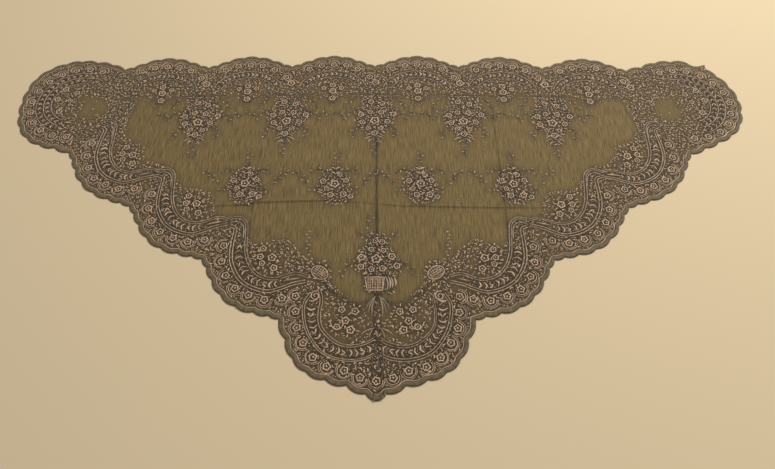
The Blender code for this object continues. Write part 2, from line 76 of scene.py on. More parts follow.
def resampled(line: np.ndarray, step: float) -> np.ndarray:
    """Return points on a line that are about one step apart.

    Args:
        line: The line's corners, in millimetres.
        step: The wanted distance between points, in millimetres.

    Returns:
        The new points, which keep both ends.
    """
    travelled = np.concatenate([[0.0], np.cumsum(np.hypot(*np.diff(line, axis=0).T))])
    count = max(2, round(travelled[-1] / step) + 1)
    at = np.linspace(0.0, travelled[-1], count)
    return np.stack([np.interp(at, travelled, line[:, axis]) for axis in (0, 1)], 1)


def divided(outline: np.ndarray, longest: float) -> np.ndarray:
    """Return a closed outline with points added so that no side is longer than a distance.

    Args:
        outline: The corners of the outline, in millimetres.
        longest: The greatest length of a side, in millimetres.

    Returns:
        The corners and the new points.
    """
    parts = []
    for start, end in zip(outline, np.roll(outline, -1, 0)):
        count = max(1, math.ceil(math.dist(start, end) / longest))
        parts.append(start + (end - start) * (np.arange(count) / count)[:, None])
    return np.concatenate(parts)


def smooth_line(points: Sequence[Point], step: float = 3.0) -> np.ndarray:
    """Return a Catmull-Rom curve through plan points, with points about one step apart.

    Args:
        points: The points that it passes through, in millimetres.
        step: The wanted distance between its own points, in millimetres.

    Returns:
        The curve's points.
    """
    given = np.array([points[0], *points, points[-1]], float)
    parts = []
    for before, start, end, after in zip(given, given[1:], given[2:], given[3:]):
        count = max(1, round(math.dist(start, end) / step))
        t = (np.arange(count) / count)[:, None]
        parts.append(0.5 * (
            2 * start + (end - before) * t + (2 * before - 5 * start + 4 * end - after) * t ** 2
            + (3 * start - before - 3 * end + after) * t ** 3
        ))
    return np.concatenate([*parts, given[-1:]])


def left_of(run: np.ndarray) -> np.ndarray:
    """Return the directions to the left of others, each one unit long."""
    return np.stack([-run[:, 1], run[:, 0]], 1) / np.maximum(1e-9, np.hypot(*run.T))[:, None]


def shifted(line: np.ndarray, distance: float, closed: bool = False) -> np.ndarray:
    """Return a line moved to its left by a distance, with its corners rounded a little.

    Args:
        line: Points along the line, in millimetres.
        distance: How far it moves, in millimetres, with a minus sign to its right.
        closed: Whether its last point joins its first one.

    Returns:
        The moved line, with as many points.
    """
    if closed:
        ahead, behind = np.roll(line, -1, 0), np.roll(line, 1, 0)
    else:
        ahead = np.concatenate([line[1:], line[-1:]])
        behind = np.concatenate([line[:1], line[:-1]])
    return line + left_of(ahead - behind) * distance


def around(middle: Point, radius: np.ndarray | float, angle: np.ndarray) -> np.ndarray:
    """Return the plan points that lie round a middle at a radius and at angles in radians."""
    return np.asarray(middle) + np.stack([radius * np.cos(angle), radius * np.sin(angle)], 1)


def inside(polygon: np.ndarray, plan: np.ndarray) -> np.ndarray:
    """Tell for each plan point whether it lies inside a closed polygon.

    Args:
        polygon: The corners of the polygon, in millimetres.
        plan: Points on the plan, one a row, in millimetres.

    Returns:
        True for each point that lies inside.
    """
    found = np.zeros(len(plan), bool)
    x, y = plan[:, 0], plan[:, 1]
    for (ax, ay), (bx, by) in zip(polygon, np.roll(polygon, -1, 0)):
        if ay != by:
            crossed = ((ay > y) != (by > y)) & (x < (bx - ax) * (y - ay) / (by - ay) + ax)
            found ^= crossed
    return found


@dataclass(frozen=True)
class Lobe:
    """One large lobe of the edge, between two notches."""

    start: Point
    end: Point
    bulge: float
    skew: float
    scallops: int
    power: float = 1.3

    def curve(self) -> Callable[[float], np.ndarray]:
        """Return the lobe's curve of t, 0 to 1, before it is cut into scallops.

        Returns:
            The function that gives the curve's plan point for t.
        """
        start = np.array(self.start)
        chord = np.array(self.end) - start
        outward = np.array([chord[1], -chord[0]]) / np.hypot(*chord)

        def at(t: float) -> np.ndarray:
            """Return the curve's plan point at t."""
            swell = max(0.0, math.sin(math.pi * t ** self.skew)) ** self.power
            return start + chord * t + outward * self.bulge * swell

        return at

    def place(self, along: float, inward: float) -> np.ndarray:
        """Return the plan point at a distance along the line between the notches and inwards of it.

        Args:
            along: The distance from the line's middle towards its end, in millimetres.
            inward: The distance into the cloth, in millimetres.

        Returns:
            The plan point.
        """
        start, end = np.array(self.start), np.array(self.end)
        way = (end - start) / math.dist(start, end)
        return (start + end) / 2 + way * along + np.array([-way[1], way[0]]) * inward

    def turn(self) -> float:
        """Return the angle of the line between the notches."""
        return math.atan2(self.end[1] - self.start[1], self.end[0] - self.start[0])


@dataclass
class ClothOutline:
    """The cut of the whole cloth: its scalloped edge and the seams between its panels."""

    scallop_rise: float = 0.15
    scallop_sink: float = 0.9
    scallop_crowd: float = 0.35
    scallop_steps: int = 6
    wave_pitch: float = 171.0
    wave_shift: float = -11.0
    wave_height: float = 328.0
    wave_fall: float = 11.5
    wave_bulge: float = 28.0
    wave_scallops: int = 7
    tip_middle: Point = (600.0, 229.0)
    tip_scallops: int = 14
    corner_scallop: int = 9
    corner_rise: float = 12.0
    corner_dent: float = 9.0
    point_end: Point = (16.0, -342.0)
    point_rise: float = 9.5
    point_bulge: float = 34.5
    point_skew: float = 1.2
    point_scallops: int = 6
    side_lobes: tuple[Lobe, ...] = (
        Lobe((156.7, -223.9), (297.0, -117.5), 28.5, 1.0, 7),
        Lobe((297.0, -117.5), (442.4, -13.5), 27.5, 1.0, 7),
        Lobe((442.4, -13.5), (581.6, 104.7), 26.0, 1.0, 7),
    )
    right_tip: Line = (
        (-98.4, 125.6), (-80.0, 108.5), (-40.0, 107.5), (-8.0, 107.0), (8.0, 107.0),
        (28.0, 108.5), (50.0, 111.0), (75.0, 115.0), (108.0, 115.0), (124.0, 117.0),
    )
    left_tip: Line = (
        (-98.4, 125.6), (-84.0, 114.5), (-60.0, 115.5), (-36.0, 113.5), (-12.0, 107.5),
        (6.0, 107.5), (28.0, 115.0), (48.0, 117.0), (76.0, 113.0), (104.0, 109.0), (124.0, 116.0),
    )
    point_seam: Line = ((0.0, -190.0), (28.0, -193.0), (55.0, -182.0), (80.0, -156.0))
    side_seam: Line = (
        (80.0, -156.0), (77.0, -134.0), (89.0, -118.0), (108.0, -118.0), (128.0, -110.0),
        (145.0, -88.0), (170.0, -78.0), (195.0, -87.0), (219.0, -83.0), (226.0, -60.0),
        (240.0, -41.0), (262.0, -34.0), (283.0, -36.0), (291.0, -12.0), (300.0, 14.0),
        (325.0, 22.0), (352.0, 24.0), (366.0, 42.0), (385.0, 70.0), (415.0, 80.0),
        (437.0, 98.0), (447.0, 124.0), (475.0, 133.0), (492.0, 165.0),
    )
    tip_seam: Line = ((492.0, 165.0), (485.0, 205.0), (478.0, 243.0))
    top_seam_height: float = 245.0
    top_seam_rise: float = 6.0

    def trough(self, index: int) -> Point:
        """Return one trough of the top edge, counted from the middle."""
        sink = self.wave_fall * (index / 3) ** 2
        return (self.wave_pitch * index + self.wave_shift, self.wave_height - sink)

    def waves(self) -> list[Lobe]:
        """Return the lobes of the top edge, from right to left."""
        ends = [(self.trough(index), self.trough(index - 1)) for index in range(3, -3, -1)]
        return [Lobe(start, end, self.wave_bulge, 1.0, self.wave_scallops) for start, end in ends]

    def scalloped(self, curve: Callable[[float], np.ndarray], count: int, crowd: float = 0.0) -> np.ndarray:
        """Return an edge of small arcs between points of a curve, crowded towards its ends.

        Args:
            curve: The function that gives a plan point for t, 0 to 1.
            count: The number of arcs.
            crowd: How strongly the arcs narrow towards both ends, 0 for even ones.

        Returns:
            The points of the edge, in millimetres.
        """
        parts = []
        places = np.linspace(0.0, 1.0, count + 1)
        places = places - crowd * np.sin(2.0 * np.pi * places) / (2.0 * np.pi)
        for low, high in zip(places[:-1], places[1:]):
            start, end = curve(low), curve(high)
            run = end - start
            outward = np.array([run[1], -run[0]]) / np.hypot(*run)
            u = (np.arange(self.scallop_steps) / self.scallop_steps)[:, None]
            swing = self.scallop_rise * np.hypot(*run) * 4.0 * u * (1.0 - u) - self.scallop_sink
            parts.append(start + run * u + outward * swing)
        return np.concatenate([*parts, curve(1.0)[None]])

    def top_edge(self) -> np.ndarray:
        """Return the waved top edge, from right to left."""
        return self.lobed(self.waves())

    def lobed(self, lobes: Iterable[Lobe]) -> np.ndarray:
        """Return the scalloped edge of several lobes that follow each other.

        Args:
            lobes: The lobes, each of which starts where the last one ends.

        Returns:
            The points of the edge, in millimetres.
        """
        lobes = list(lobes)
        parts = [self.scalloped(lobe.curve(), lobe.scallops, self.scallop_crowd)[:-1] for lobe in lobes]
        return np.concatenate([*parts, [lobes[-1].end]])

    def side_edge(self) -> np.ndarray:
        """Return the edge of the right side, from the point up to the tip."""
        return self.lobed(self.side_lobes)

    def point_lobe(self) -> Lobe:
        """Return the right half of the point's edge."""
        end = self.side_lobes[0].start
        return Lobe(self.point_end, end, self.point_bulge, self.point_skew, self.point_scallops)

    def point_edge(self) -> np.ndarray:
        """Return the edge of the point, from its left notch round to its right one.

        Returns:
            The points of the edge, in millimetres.
        """
        half = self.point_lobe()
        right = self.scalloped(half.curve(), half.scallops)
        u = np.linspace(0.0, 1.0, 2 * self.scallop_steps + 1)[1:-1]
        x, y = self.point_end
        middle = np.stack([x * (2.0 * u - 1.0), y - self.point_rise * np.sin(np.pi * u) ** 0.8], 1)
        return np.concatenate([mirrored(right), middle, right])

    def tip_edge(self, stations: Sequence[Point], end: Point, corner: bool) -> np.ndarray:
        """Return the edge round the right tip.

        Args:
            stations: Angles round the tip's middle with the edge's distance at each.
            end: The trough of the top edge where the tip ends.
            corner: Whether the cloth is turned up into a pointed corner.

        Returns:
            The scalloped edge, from the notch to the trough.
        """
        turned = [
            (self.tip_middle[0] + radius * math.cos(math.radians(angle)),
             self.tip_middle[1] + radius * math.sin(math.radians(angle)))
            for angle, radius in stations
        ]
        line = resampled(smooth_line([*turned, end], 4.0), 2.0)

        def at(t: float) -> np.ndarray:
            """Return the plan point of the resampled line.

            Args:
                t: How far along, 0 to 1.

            Returns:
                The plan point.
            """
            where = t * (len(line) - 1)
            low = min(int(where), len(line) - 2)
            return line[low] + (line[low + 1] - line[low]) * (where - low)

        edge = self.scalloped(at, self.tip_scallops)
        if corner:
            index = self.corner_scallop * self.scallop_steps
            outward = edge[index] - self.tip_middle
            u = np.arange(self.scallop_steps) / self.scallop_steps
            swing = self.corner_rise * (1.0 - u) ** 3 - self.corner_dent * np.sin(np.pi * u)
            edge[index:index + self.scallop_steps] += np.outer(swing, outward / np.hypot(*outward))
        return edge

    def right_tip_edge(self) -> np.ndarray:
        """Return the right tip's edge."""
        return self.tip_edge(self.right_tip, self.trough(3), corner=True)

    def left_tip_edge(self) -> np.ndarray:
        """Return the left tip's edge, from the top edge round to its notch."""
        x, y = self.trough(-3)
        return mirrored(self.tip_edge(self.left_tip, (-x, y), corner=False))

    def whole_edge(self) -> np.ndarray:
        """Return the closed edge of the whole cloth.

        Returns:
            The points of the edge, in millimetres, each of them once.
        """
        lines = (
            self.top_edge(), self.left_tip_edge(), mirrored(self.side_edge()),
            self.point_edge(), self.side_edge(), self.right_tip_edge(),
        )
        return np.concatenate([line[:-1] for line in lines])

    def top_seam(self) -> np.ndarray:
        """Return the seam under the top border, from left to right.

        Returns:
            The points of the seam, in millimetres.
        """
        right, height = self.tip_seam[-1]
        x = np.linspace(-right, right, 120)
        y = self.top_seam_height + self.top_seam_rise * np.cos(
            2.0 * np.pi * (x - self.wave_shift) / self.wave_pitch)
        y[0] = y[-1] = height
        return np.stack([x, y], 1)

    def panels(self) -> dict[str, np.ndarray]:
        """Return each panel's closed outline by the name of its CAD node.

        Returns:
            The outlines by name, each of them anticlockwise.
        """
        side = smooth_line(self.side_seam, 8.0)
        tip = smooth_line(self.tip_seam, 8.0)
        point = smooth_line(self.point_seam, 8.0)
        half = np.concatenate([point[:-1], side[:-1], tip])
        right_side = np.concatenate([self.side_edge(), side[::-1]])
        return {
            "net_ground": np.concatenate([half[:-1], self.top_seam()[::-1], mirrored(half)[1:-1]]),
            "border_top": np.concatenate([self.top_edge(), self.top_seam()]),
            "border_tip_right": np.concatenate([self.right_tip_edge(), tip[::-1]]),
            "border_tip_left": np.concatenate([mirrored(tip[::-1]), self.left_tip_edge()]),
            "border_side_right": right_side,
            "border_side_left": mirrored(right_side),
            "border_point": np.concatenate([self.point_edge(), point[::-1], mirrored(point[::-1])[1:]]),
        }


@dataclass
class ClothSurface:
    """The lie of the cloth: flat on the floor but for its fold lines and a slight unevenness."""

    top: float = 1.0
    ripple: float = 0.16
    crest_share: float = 0.34
    creases: tuple[tuple[tuple[float, float, float, float], ...], ...] = (
        (
            (-8.0, 370.0, 1.0, 6.0), (-6.7, 250.0, 1.8, 7.0), (-4.5, 100.0, 2.2, 7.0),
            (-3.1, 0.0, 2.6, 8.0), (-1.0, -150.0, 2.4, 8.0), (-2.5, -250.0, 3.0, 8.0),
            (-4.0, -370.0, 2.2, 7.0),
        ),
        (
            (3.0, -160.0, 0.0, 7.0), (6.5, -220.0, 2.4, 7.0), (8.0, -270.0, 3.0, 8.0),
            (8.0, -330.0, 2.4, 8.0), (7.0, -370.0, 1.5, 7.0),
        ),
        (
            (-370.0, -13.0, 0.0, 5.0), (-300.0, -12.0, 1.4, 6.0), (-235.0, -10.0, 1.8, 6.0),
            (-215.0, -4.0, 1.6, 6.0), (-100.0, 0.0, 1.8, 6.0), (-30.0, -3.0, 0.8, 6.0),
            (45.0, -11.0, 1.2, 6.0), (225.0, -14.0, 1.8, 6.0), (330.0, -12.0, 0.0, 5.0),
        ),
        (
            (-220.0, 330.0, 0.0, 5.0), (-221.0, 100.0, 0.7, 6.0),
            (-223.0, -80.0, 1.5, 6.0), (-229.0, -230.0, 1.4, 6.0),
        ),
        (
            (218.0, 330.0, 0.0, 5.0), (222.0, 100.0, 1.4, 6.0),
            (224.0, -60.0, 1.8, 6.0), (227.0, -230.0, 1.0, 6.0),
        ),
    )

    def lift(self, plan: np.ndarray) -> np.ndarray:
        """Return how far the underside stands off the floor at plan points, in millimetres.

        Args:
            plan: Points on the plan, one a row, in millimetres.

        Returns:
            A height for each point.
        """
        x, y = plan[:, 0], plan[:, 1]
        uneven = 0.86 + 0.14 * np.sin(y / 19.0 + 1.7 * np.sin(x / 41.0))
        rolling = 2.0 + np.sin(x / 31.0 + 1.3 * np.sin(y / 47.0))
        rolling = rolling + np.sin(y / 27.0 + 1.1 * np.sin(x / 53.0))
        return self.fold(plan) * uneven + 0.5 * self.ripple * rolling

    def fold(self, plan: np.ndarray) -> np.ndarray:
        """Return how high the fold lines alone stand at plan points, in millimetres.

        Args:
            plan: Points on the plan, one a row, in millimetres.

        Returns:
            A height for each point.
        """
        x, y = plan[:, 0], plan[:, 1]
        highest = np.zeros(len(plan))
        wander = 0.8 * np.sin(x / 23.0 + y / 31.0) + 0.5 * np.sin(y / 11.0 - x / 17.0)
        for crease in self.creases:
            for start, end in zip(crease, crease[1:]):
                run_x, run_y = end[0] - start[0], end[1] - start[1]
                length = math.hypot(run_x, run_y)
                t = np.clip(((x - start[0]) * run_x + (y - start[1]) * run_y) / length ** 2, 0.0, 1.0)
                away = np.hypot(x - start[0] - run_x * t, y - start[1] - run_y * t) + 0.25 * wander
                height = start[2] + (end[2] - start[2]) * t
                width = self.crest_share * (start[3] + (end[3] - start[3]) * t)
                highest = np.maximum(highest, height * np.exp(-(away / width) ** 2))
        return highest

    def lay(self, mesh: bpy.types.Mesh, rise: float = 0.0) -> None:
        """Lay a flat mesh on the cloth and move it from the plan into the frame.

        Args:
            mesh: A mesh drawn on the plan in metres, with its own heights above the cloth.
            rise: How far it stands off the cloth's outer face, in millimetres.
        """
        points = np.zeros(len(mesh.vertices) * 3, np.float32)
        mesh.vertices.foreach_get("co", points)
        points = points.reshape(-1, 3).astype(float)
        points[:, 2] += (self.lift(points[:, :2] / MM) + (self.top + rise)) * MM
        points[:, :2] += PLAN_SHIFT
        mesh.vertices.foreach_set("co", points.astype(np.float32).ravel())
        mesh.update()


class Slot(Enum):
    """The record's material slots."""

    NET = "net"
    LACE = "lace"
    EMBROIDERY = "embroidery"


def add_node(tree: bpy.types.NodeTree, kind: str, settings: dict[str, object],
             feeds: dict[str | int, object]) -> bpy.types.Node:
    """Add a shader node to a tree.

    Args:
        tree: The node tree of a material or a group.
        kind: The node's type, without the leading "ShaderNode".
        settings: The node's own settings by name.
        feeds: For each input, a plain value or the socket that feeds it.

    Returns:
        The new node.
    """
    made = tree.nodes.new("ShaderNode" + kind)
    for name, value in settings.items():
        setattr(made, name, value)
    for name, feed in feeds.items():
        if isinstance(feed, bpy.types.NodeSocket):
            tree.links.new(feed, made.inputs[name])
        else:
            made.inputs[name].default_value = feed
    return made


def mapped(tree: bpy.types.NodeTree, value: bpy.types.NodeSocket, low: float, high: float,
           start: float = 0.0, end: float = 1.0) -> bpy.types.NodeSocket:
    """Return a socket whose value runs from low to high while another runs from start to end."""
    feeds = {"Value": value, "From Min": start, "From Max": end, "To Min": low, "To Max": high}
    return add_node(tree, "MapRange", {}, feeds).outputs[0]


def product(tree: bpy.types.NodeTree, first: bpy.types.NodeSocket,
            second: bpy.types.NodeSocket) -> bpy.types.NodeSocket:
    """Return the product of two sockets."""
    return add_node(tree, "Math", {"operation": "MULTIPLY"}, {0: first, 1: second}).outputs[0]


@dataclass(frozen=True)
class FibreGrain:
    """Fine unevenness that every thread and net shares: a speckle, streaks, meshes and a height."""

    name: str = "Fibre grain"
    mesh_scale: float = 620.0
    twine_edges: tuple[float, float] = (0.06, 0.20)
    speckle_scale: float = 700.0
    streak_across: float = 620.0
    streak_along: float = 36.0

    def group(self) -> bpy.types.NodeTree:
        """Build the shared group once and return it.

        Returns:
            The group, whose outputs are Speckle, Streak, Mesh and Height.
        """
        found = bpy.data.node_groups.get(self.name)
        if found:
            return found
        tree = bpy.data.node_groups.new(self.name, "ShaderNodeTree")
        coarseness = tree.interface.new_socket(
            name="Coarseness", in_out="INPUT", socket_type="NodeSocketFloat")
        coarseness.default_value = 1.0
        entry, leave = tree.nodes.new("NodeGroupInput"), tree.nodes.new("NodeGroupOutput")
        place = add_node(tree, "TexCoord", {}, {})
        at = add_node(tree, "VectorMath", {"operation": "SCALE"}, {
            0: place.outputs["Object"], "Scale": entry.outputs["Coarseness"],
        }).outputs[0]
        speckle = add_node(tree, "TexNoise", {}, {
            "Vector": at, "Scale": self.speckle_scale, "Detail": 2.0,
        }).outputs["Fac"]
        stretch = add_node(tree, "Mapping", {}, {
            "Vector": at, "Scale": (self.streak_across, self.streak_along, 1.0),
        }).outputs[0]
        streak = add_node(tree, "TexNoise", {}, {
            "Vector": stretch, "Scale": 1.0, "Detail": 3.0,
        }).outputs["Fac"]
        cells = add_node(tree, "TexVoronoi", {
            "voronoi_dimensions": "2D", "feature": "DISTANCE_TO_EDGE",
        }, {"Vector": at, "Scale": self.mesh_scale}).outputs["Distance"]
        values = {
            "Speckle": speckle, "Streak": streak, "Mesh": mapped(tree, cells, 1.0, 0.0, *self.twine_edges),
            "Height": product(tree, speckle, streak),
        }
        for label, value in values.items():
            tree.interface.new_socket(name=label, in_out="OUTPUT", socket_type="NodeSocketFloat")
            tree.links.new(value, leave.inputs[label])
        return tree


@dataclass(frozen=True)
class ClothFinish:
    """One finish of the mantilla: its colours, how they vary and how it takes light."""

    name: str
    slot: Slot
    dark: Colour
    light: Colour
    attribute: str
    streak_share: float = 0.0
    speckle_share: float = 0.2
    mesh_share: float = 0.0
    cover: float = 1.0
    cover_worked: float = 1.0
    roughness: float = 0.75
    roughness_spread: float = 0.1
    specular: float = 0.25
    sheen: float = 0.15
    sheen_roughness: float = 0.5
    bump: float = 0.2
    bump_depth: float = 0.4
    mesh_depth: float = 3.0
    mesh_shadow: float = 0.8

    def material(self) -> bpy.types.Material:
        """Build the finish's material once and return it.

        Returns:
            The material.
        """
        found = bpy.data.materials.get(self.name)
        if found:
            return found
        made = bpy.data.materials.new(self.name)
        made.use_nodes = True
        tree = made.node_tree
        shader = tree.nodes["Principled BSDF"].inputs
        shader["Sheen Weight"].default_value = self.sheen
        shader["Sheen Roughness"].default_value = self.sheen_roughness
        shader["Specular IOR Level"].default_value = self.specular
        # For net and lace this attribute is low where the backing of the embroidery lies and where painted
        # shade darkens the creases and the ground round the threads. There the colour turns dark and the net
        # less see-through. For threads it is their tone.
        worked = add_node(tree, "Attribute", {"attribute_name": self.attribute}, {}).outputs["Fac"]
        grain = add_node(tree, "Group", {"node_tree": FibreGrain().group()}, {}).outputs
        streak = self.varied(tree, grain["Streak"], self.streak_share)
        speckle = self.varied(tree, grain["Speckle"], self.speckle_share)
        meshes = mapped(
            tree, grain["Mesh"], 1.0 - self.mesh_shadow * self.mesh_share, 1.0 + self.mesh_share)
        knit = product(tree, product(tree, streak, speckle), meshes)
        base = add_node(tree, "Mix", {"data_type": "RGBA"}, {
            "A": (*self.dark, 1.0), "B": (*self.light, 1.0), "Factor": worked,
        }).outputs["Result"]
        tint = add_node(tree, "VectorMath", {"operation": "SCALE"}, {0: base, "Scale": knit})
        height = add_node(tree, "Math", {"operation": "MULTIPLY_ADD"}, {
            0: grain["Mesh"], 1: self.mesh_depth * self.mesh_share, 2: grain["Height"],
        })
        relief = add_node(tree, "Bump", {}, {
            "Strength": self.bump, "Distance": self.bump_depth * MM, "Height": height.outputs[0],
        })
        low, high = self.roughness - self.roughness_spread, self.roughness + self.roughness_spread
        feeds = {
            "Base Color": tint.outputs[0], "Roughness": mapped(tree, grain["Speckle"], low, high),
            "Normal": relief.outputs[0],
        }
        if self.cover < 1.0:
            feeds["Alpha"] = mapped(tree, worked, self.cover_worked, self.cover)
        for name, value in feeds.items():
            tree.links.new(value, shader[name])
        return made

    def mesh(self, name: str, points: Sequence, faces: Sequence, values: np.ndarray) -> bpy.types.Mesh:
        """Make a mesh in this finish, as it lies flat on the plan.

        Args:
            name: The mesh's name.
            points: Its corners, in metres.
            faces: Its faces by the numbers of their corners.
            values: The finish's attribute at each corner, 0 to 1.

        Returns:
            The new mesh.
        """
        made = bpy.data.meshes.new(name)
        made.from_pydata(points, [], faces)
        shade = made.attributes.new(self.attribute, "FLOAT", "POINT")
        shade.data.foreach_set("value", values.astype(np.float32))
        made.materials.append(self.material())
        return made

    @staticmethod
    def varied(tree: bpy.types.NodeTree, value: bpy.types.NodeSocket, share: float) -> bpy.types.NodeSocket:
        """Return a factor around 1 that follows a grain value by a share."""
        return mapped(tree, value, 1.0 - share, 1.0 + share, 0.3, 0.7)


NET_FINISH = ClothFinish(
    "Net tulle", Slot.NET, dark=(0.044, 0.031, 0.017), light=(0.174, 0.121, 0.047),
    attribute="open_unshaded_net", streak_share=0.42, speckle_share=0.14, mesh_share=0.3, cover=0.86,
    cover_worked=0.98, roughness=0.82, sheen=0.1, bump=0.3,
)
LACE_FINISH = ClothFinish(
    "Lace ground", Slot.LACE, dark=(0.049, 0.034, 0.017), light=(0.165, 0.114, 0.048),
    attribute="open_unshaded_net", streak_share=0.20, speckle_share=0.12, mesh_share=0.3, cover=0.88,
    cover_worked=0.98, roughness=0.85, sheen=0.1, bump=0.4,
)
THREAD_FINISH = ClothFinish(
    "Embroidery thread", Slot.EMBROIDERY, dark=(0.030, 0.020, 0.012), light=(0.552, 0.382, 0.237),
    attribute="tone", speckle_share=0.18, roughness=0.55, sheen=0.3, bump=0.5,
)
EDGING_FINISH = ClothFinish(
    "Satin edging", Slot.LACE, dark=(0.085, 0.060, 0.028), light=(0.135, 0.096, 0.046),
    attribute="tone", streak_share=0.12, speckle_share=0.12, mesh_share=0.2, roughness=0.6,
    sheen=0.25, bump=0.4,
)


def select_only(piece: bpy.types.Object) -> None:
    """Deselect everything, then select one piece and make it the active one.

    Args:
        piece: The piece.
    """
    bpy.ops.object.select_all(action="DESELECT")
    piece.select_set(True)
    bpy.context.view_layer.objects.active = piece


def new_piece(name: str, data: bpy.types.ID) -> bpy.types.Object:
    """Put a new object with its data into the scene and select it alone.

    Args:
        name: Its name.
        data: Its mesh.

    Returns:
        The new object.
    """
    piece = bpy.data.objects.new(name, data)
    bpy.context.scene.collection.objects.link(piece)
    select_only(piece)
    return piece


@dataclass
class Thread:
    """One laid thread: its line on the plan, its half width along it and how light it is."""

    points: np.ndarray
    radii: np.ndarray
    tone: float
    closed: bool = False


@dataclass
class ThreadMap:
    """A raster over the plan that knows where threads already lie."""

    cell: float = 1.0
    left: float = -730.0
    low: float = -380.0
    columns: int = 1460
    rows: int = 760
    taken: np.ndarray = field(init=False)
    worked: np.ndarray = field(init=False)

    def __post_init__(self) -> None:
        """Start with an empty plan."""
        self.taken = np.zeros((self.rows, self.columns), bool)
        self.worked = np.zeros((self.rows, self.columns), np.float32)

    def cells(self, plan: np.ndarray) -> tuple[np.ndarray, np.ndarray]:
        """Return the rows and columns of plan points.

        Args:
            plan: Points on the plan, one a row, in millimetres.

        Returns:
            The row of each point and the column of each point.
        """
        column = np.clip(((plan[:, 0] - self.left) / self.cell).astype(int), 0, self.columns - 1)
        row = np.clip(((plan[:, 1] - self.low) / self.cell).astype(int), 0, self.rows - 1)
        return row, column

    def mark(self, thread: Thread, clearance: float) -> None:
        """Mark a thread's place, and a clearance round it, as taken.

        Args:
            thread: The laid thread.
            clearance: How much room it keeps beside it, in millimetres.
        """
        line = np.concatenate([thread.points, thread.points[:1]]) if thread.closed else thread.points
        dense = resampled(line, 1.0)
        reach = float(thread.radii.max()) + clearance
        steps = np.arange(-math.ceil(reach), math.ceil(reach) + 1)
        for dx in steps:
            for dy in steps:
                if math.hypot(dx, dy) <= reach:
                    row, column = self.cells(dense + (dx, dy))
                    self.taken[row, column] = True
        row, column = self.cells(dense)
        np.add.at(self.worked, (row, column), 2.0 * float(thread.radii.mean()))

    def is_free(self, plan: np.ndarray) -> bool:
        """Tell whether none of the plan points is taken."""
        row, column = self.cells(plan)
        return not bool(self.taken[row, column].any())

    def cover(self, plan: np.ndarray, blur: int = 5) -> np.ndarray:
        """Return at plan points the share of the cloth round them that threads cover.

        Args:
            plan: Points on the plan, one a row, in millimetres.
            blur: How many cells away a thread still counts.

        Returns:
            A share for each point, 0 to 1.
        """
        spread = self.worked.copy()
        for axis in (0, 1, 0, 1):
            total = np.zeros_like(spread)
            for step in range(-blur, blur + 1):
                total += np.roll(spread, step, axis)
            spread = total / (2 * blur + 1)
        row, column = self.cells(plan)
        return np.clip(spread[row, column], 0.0, 1.0)


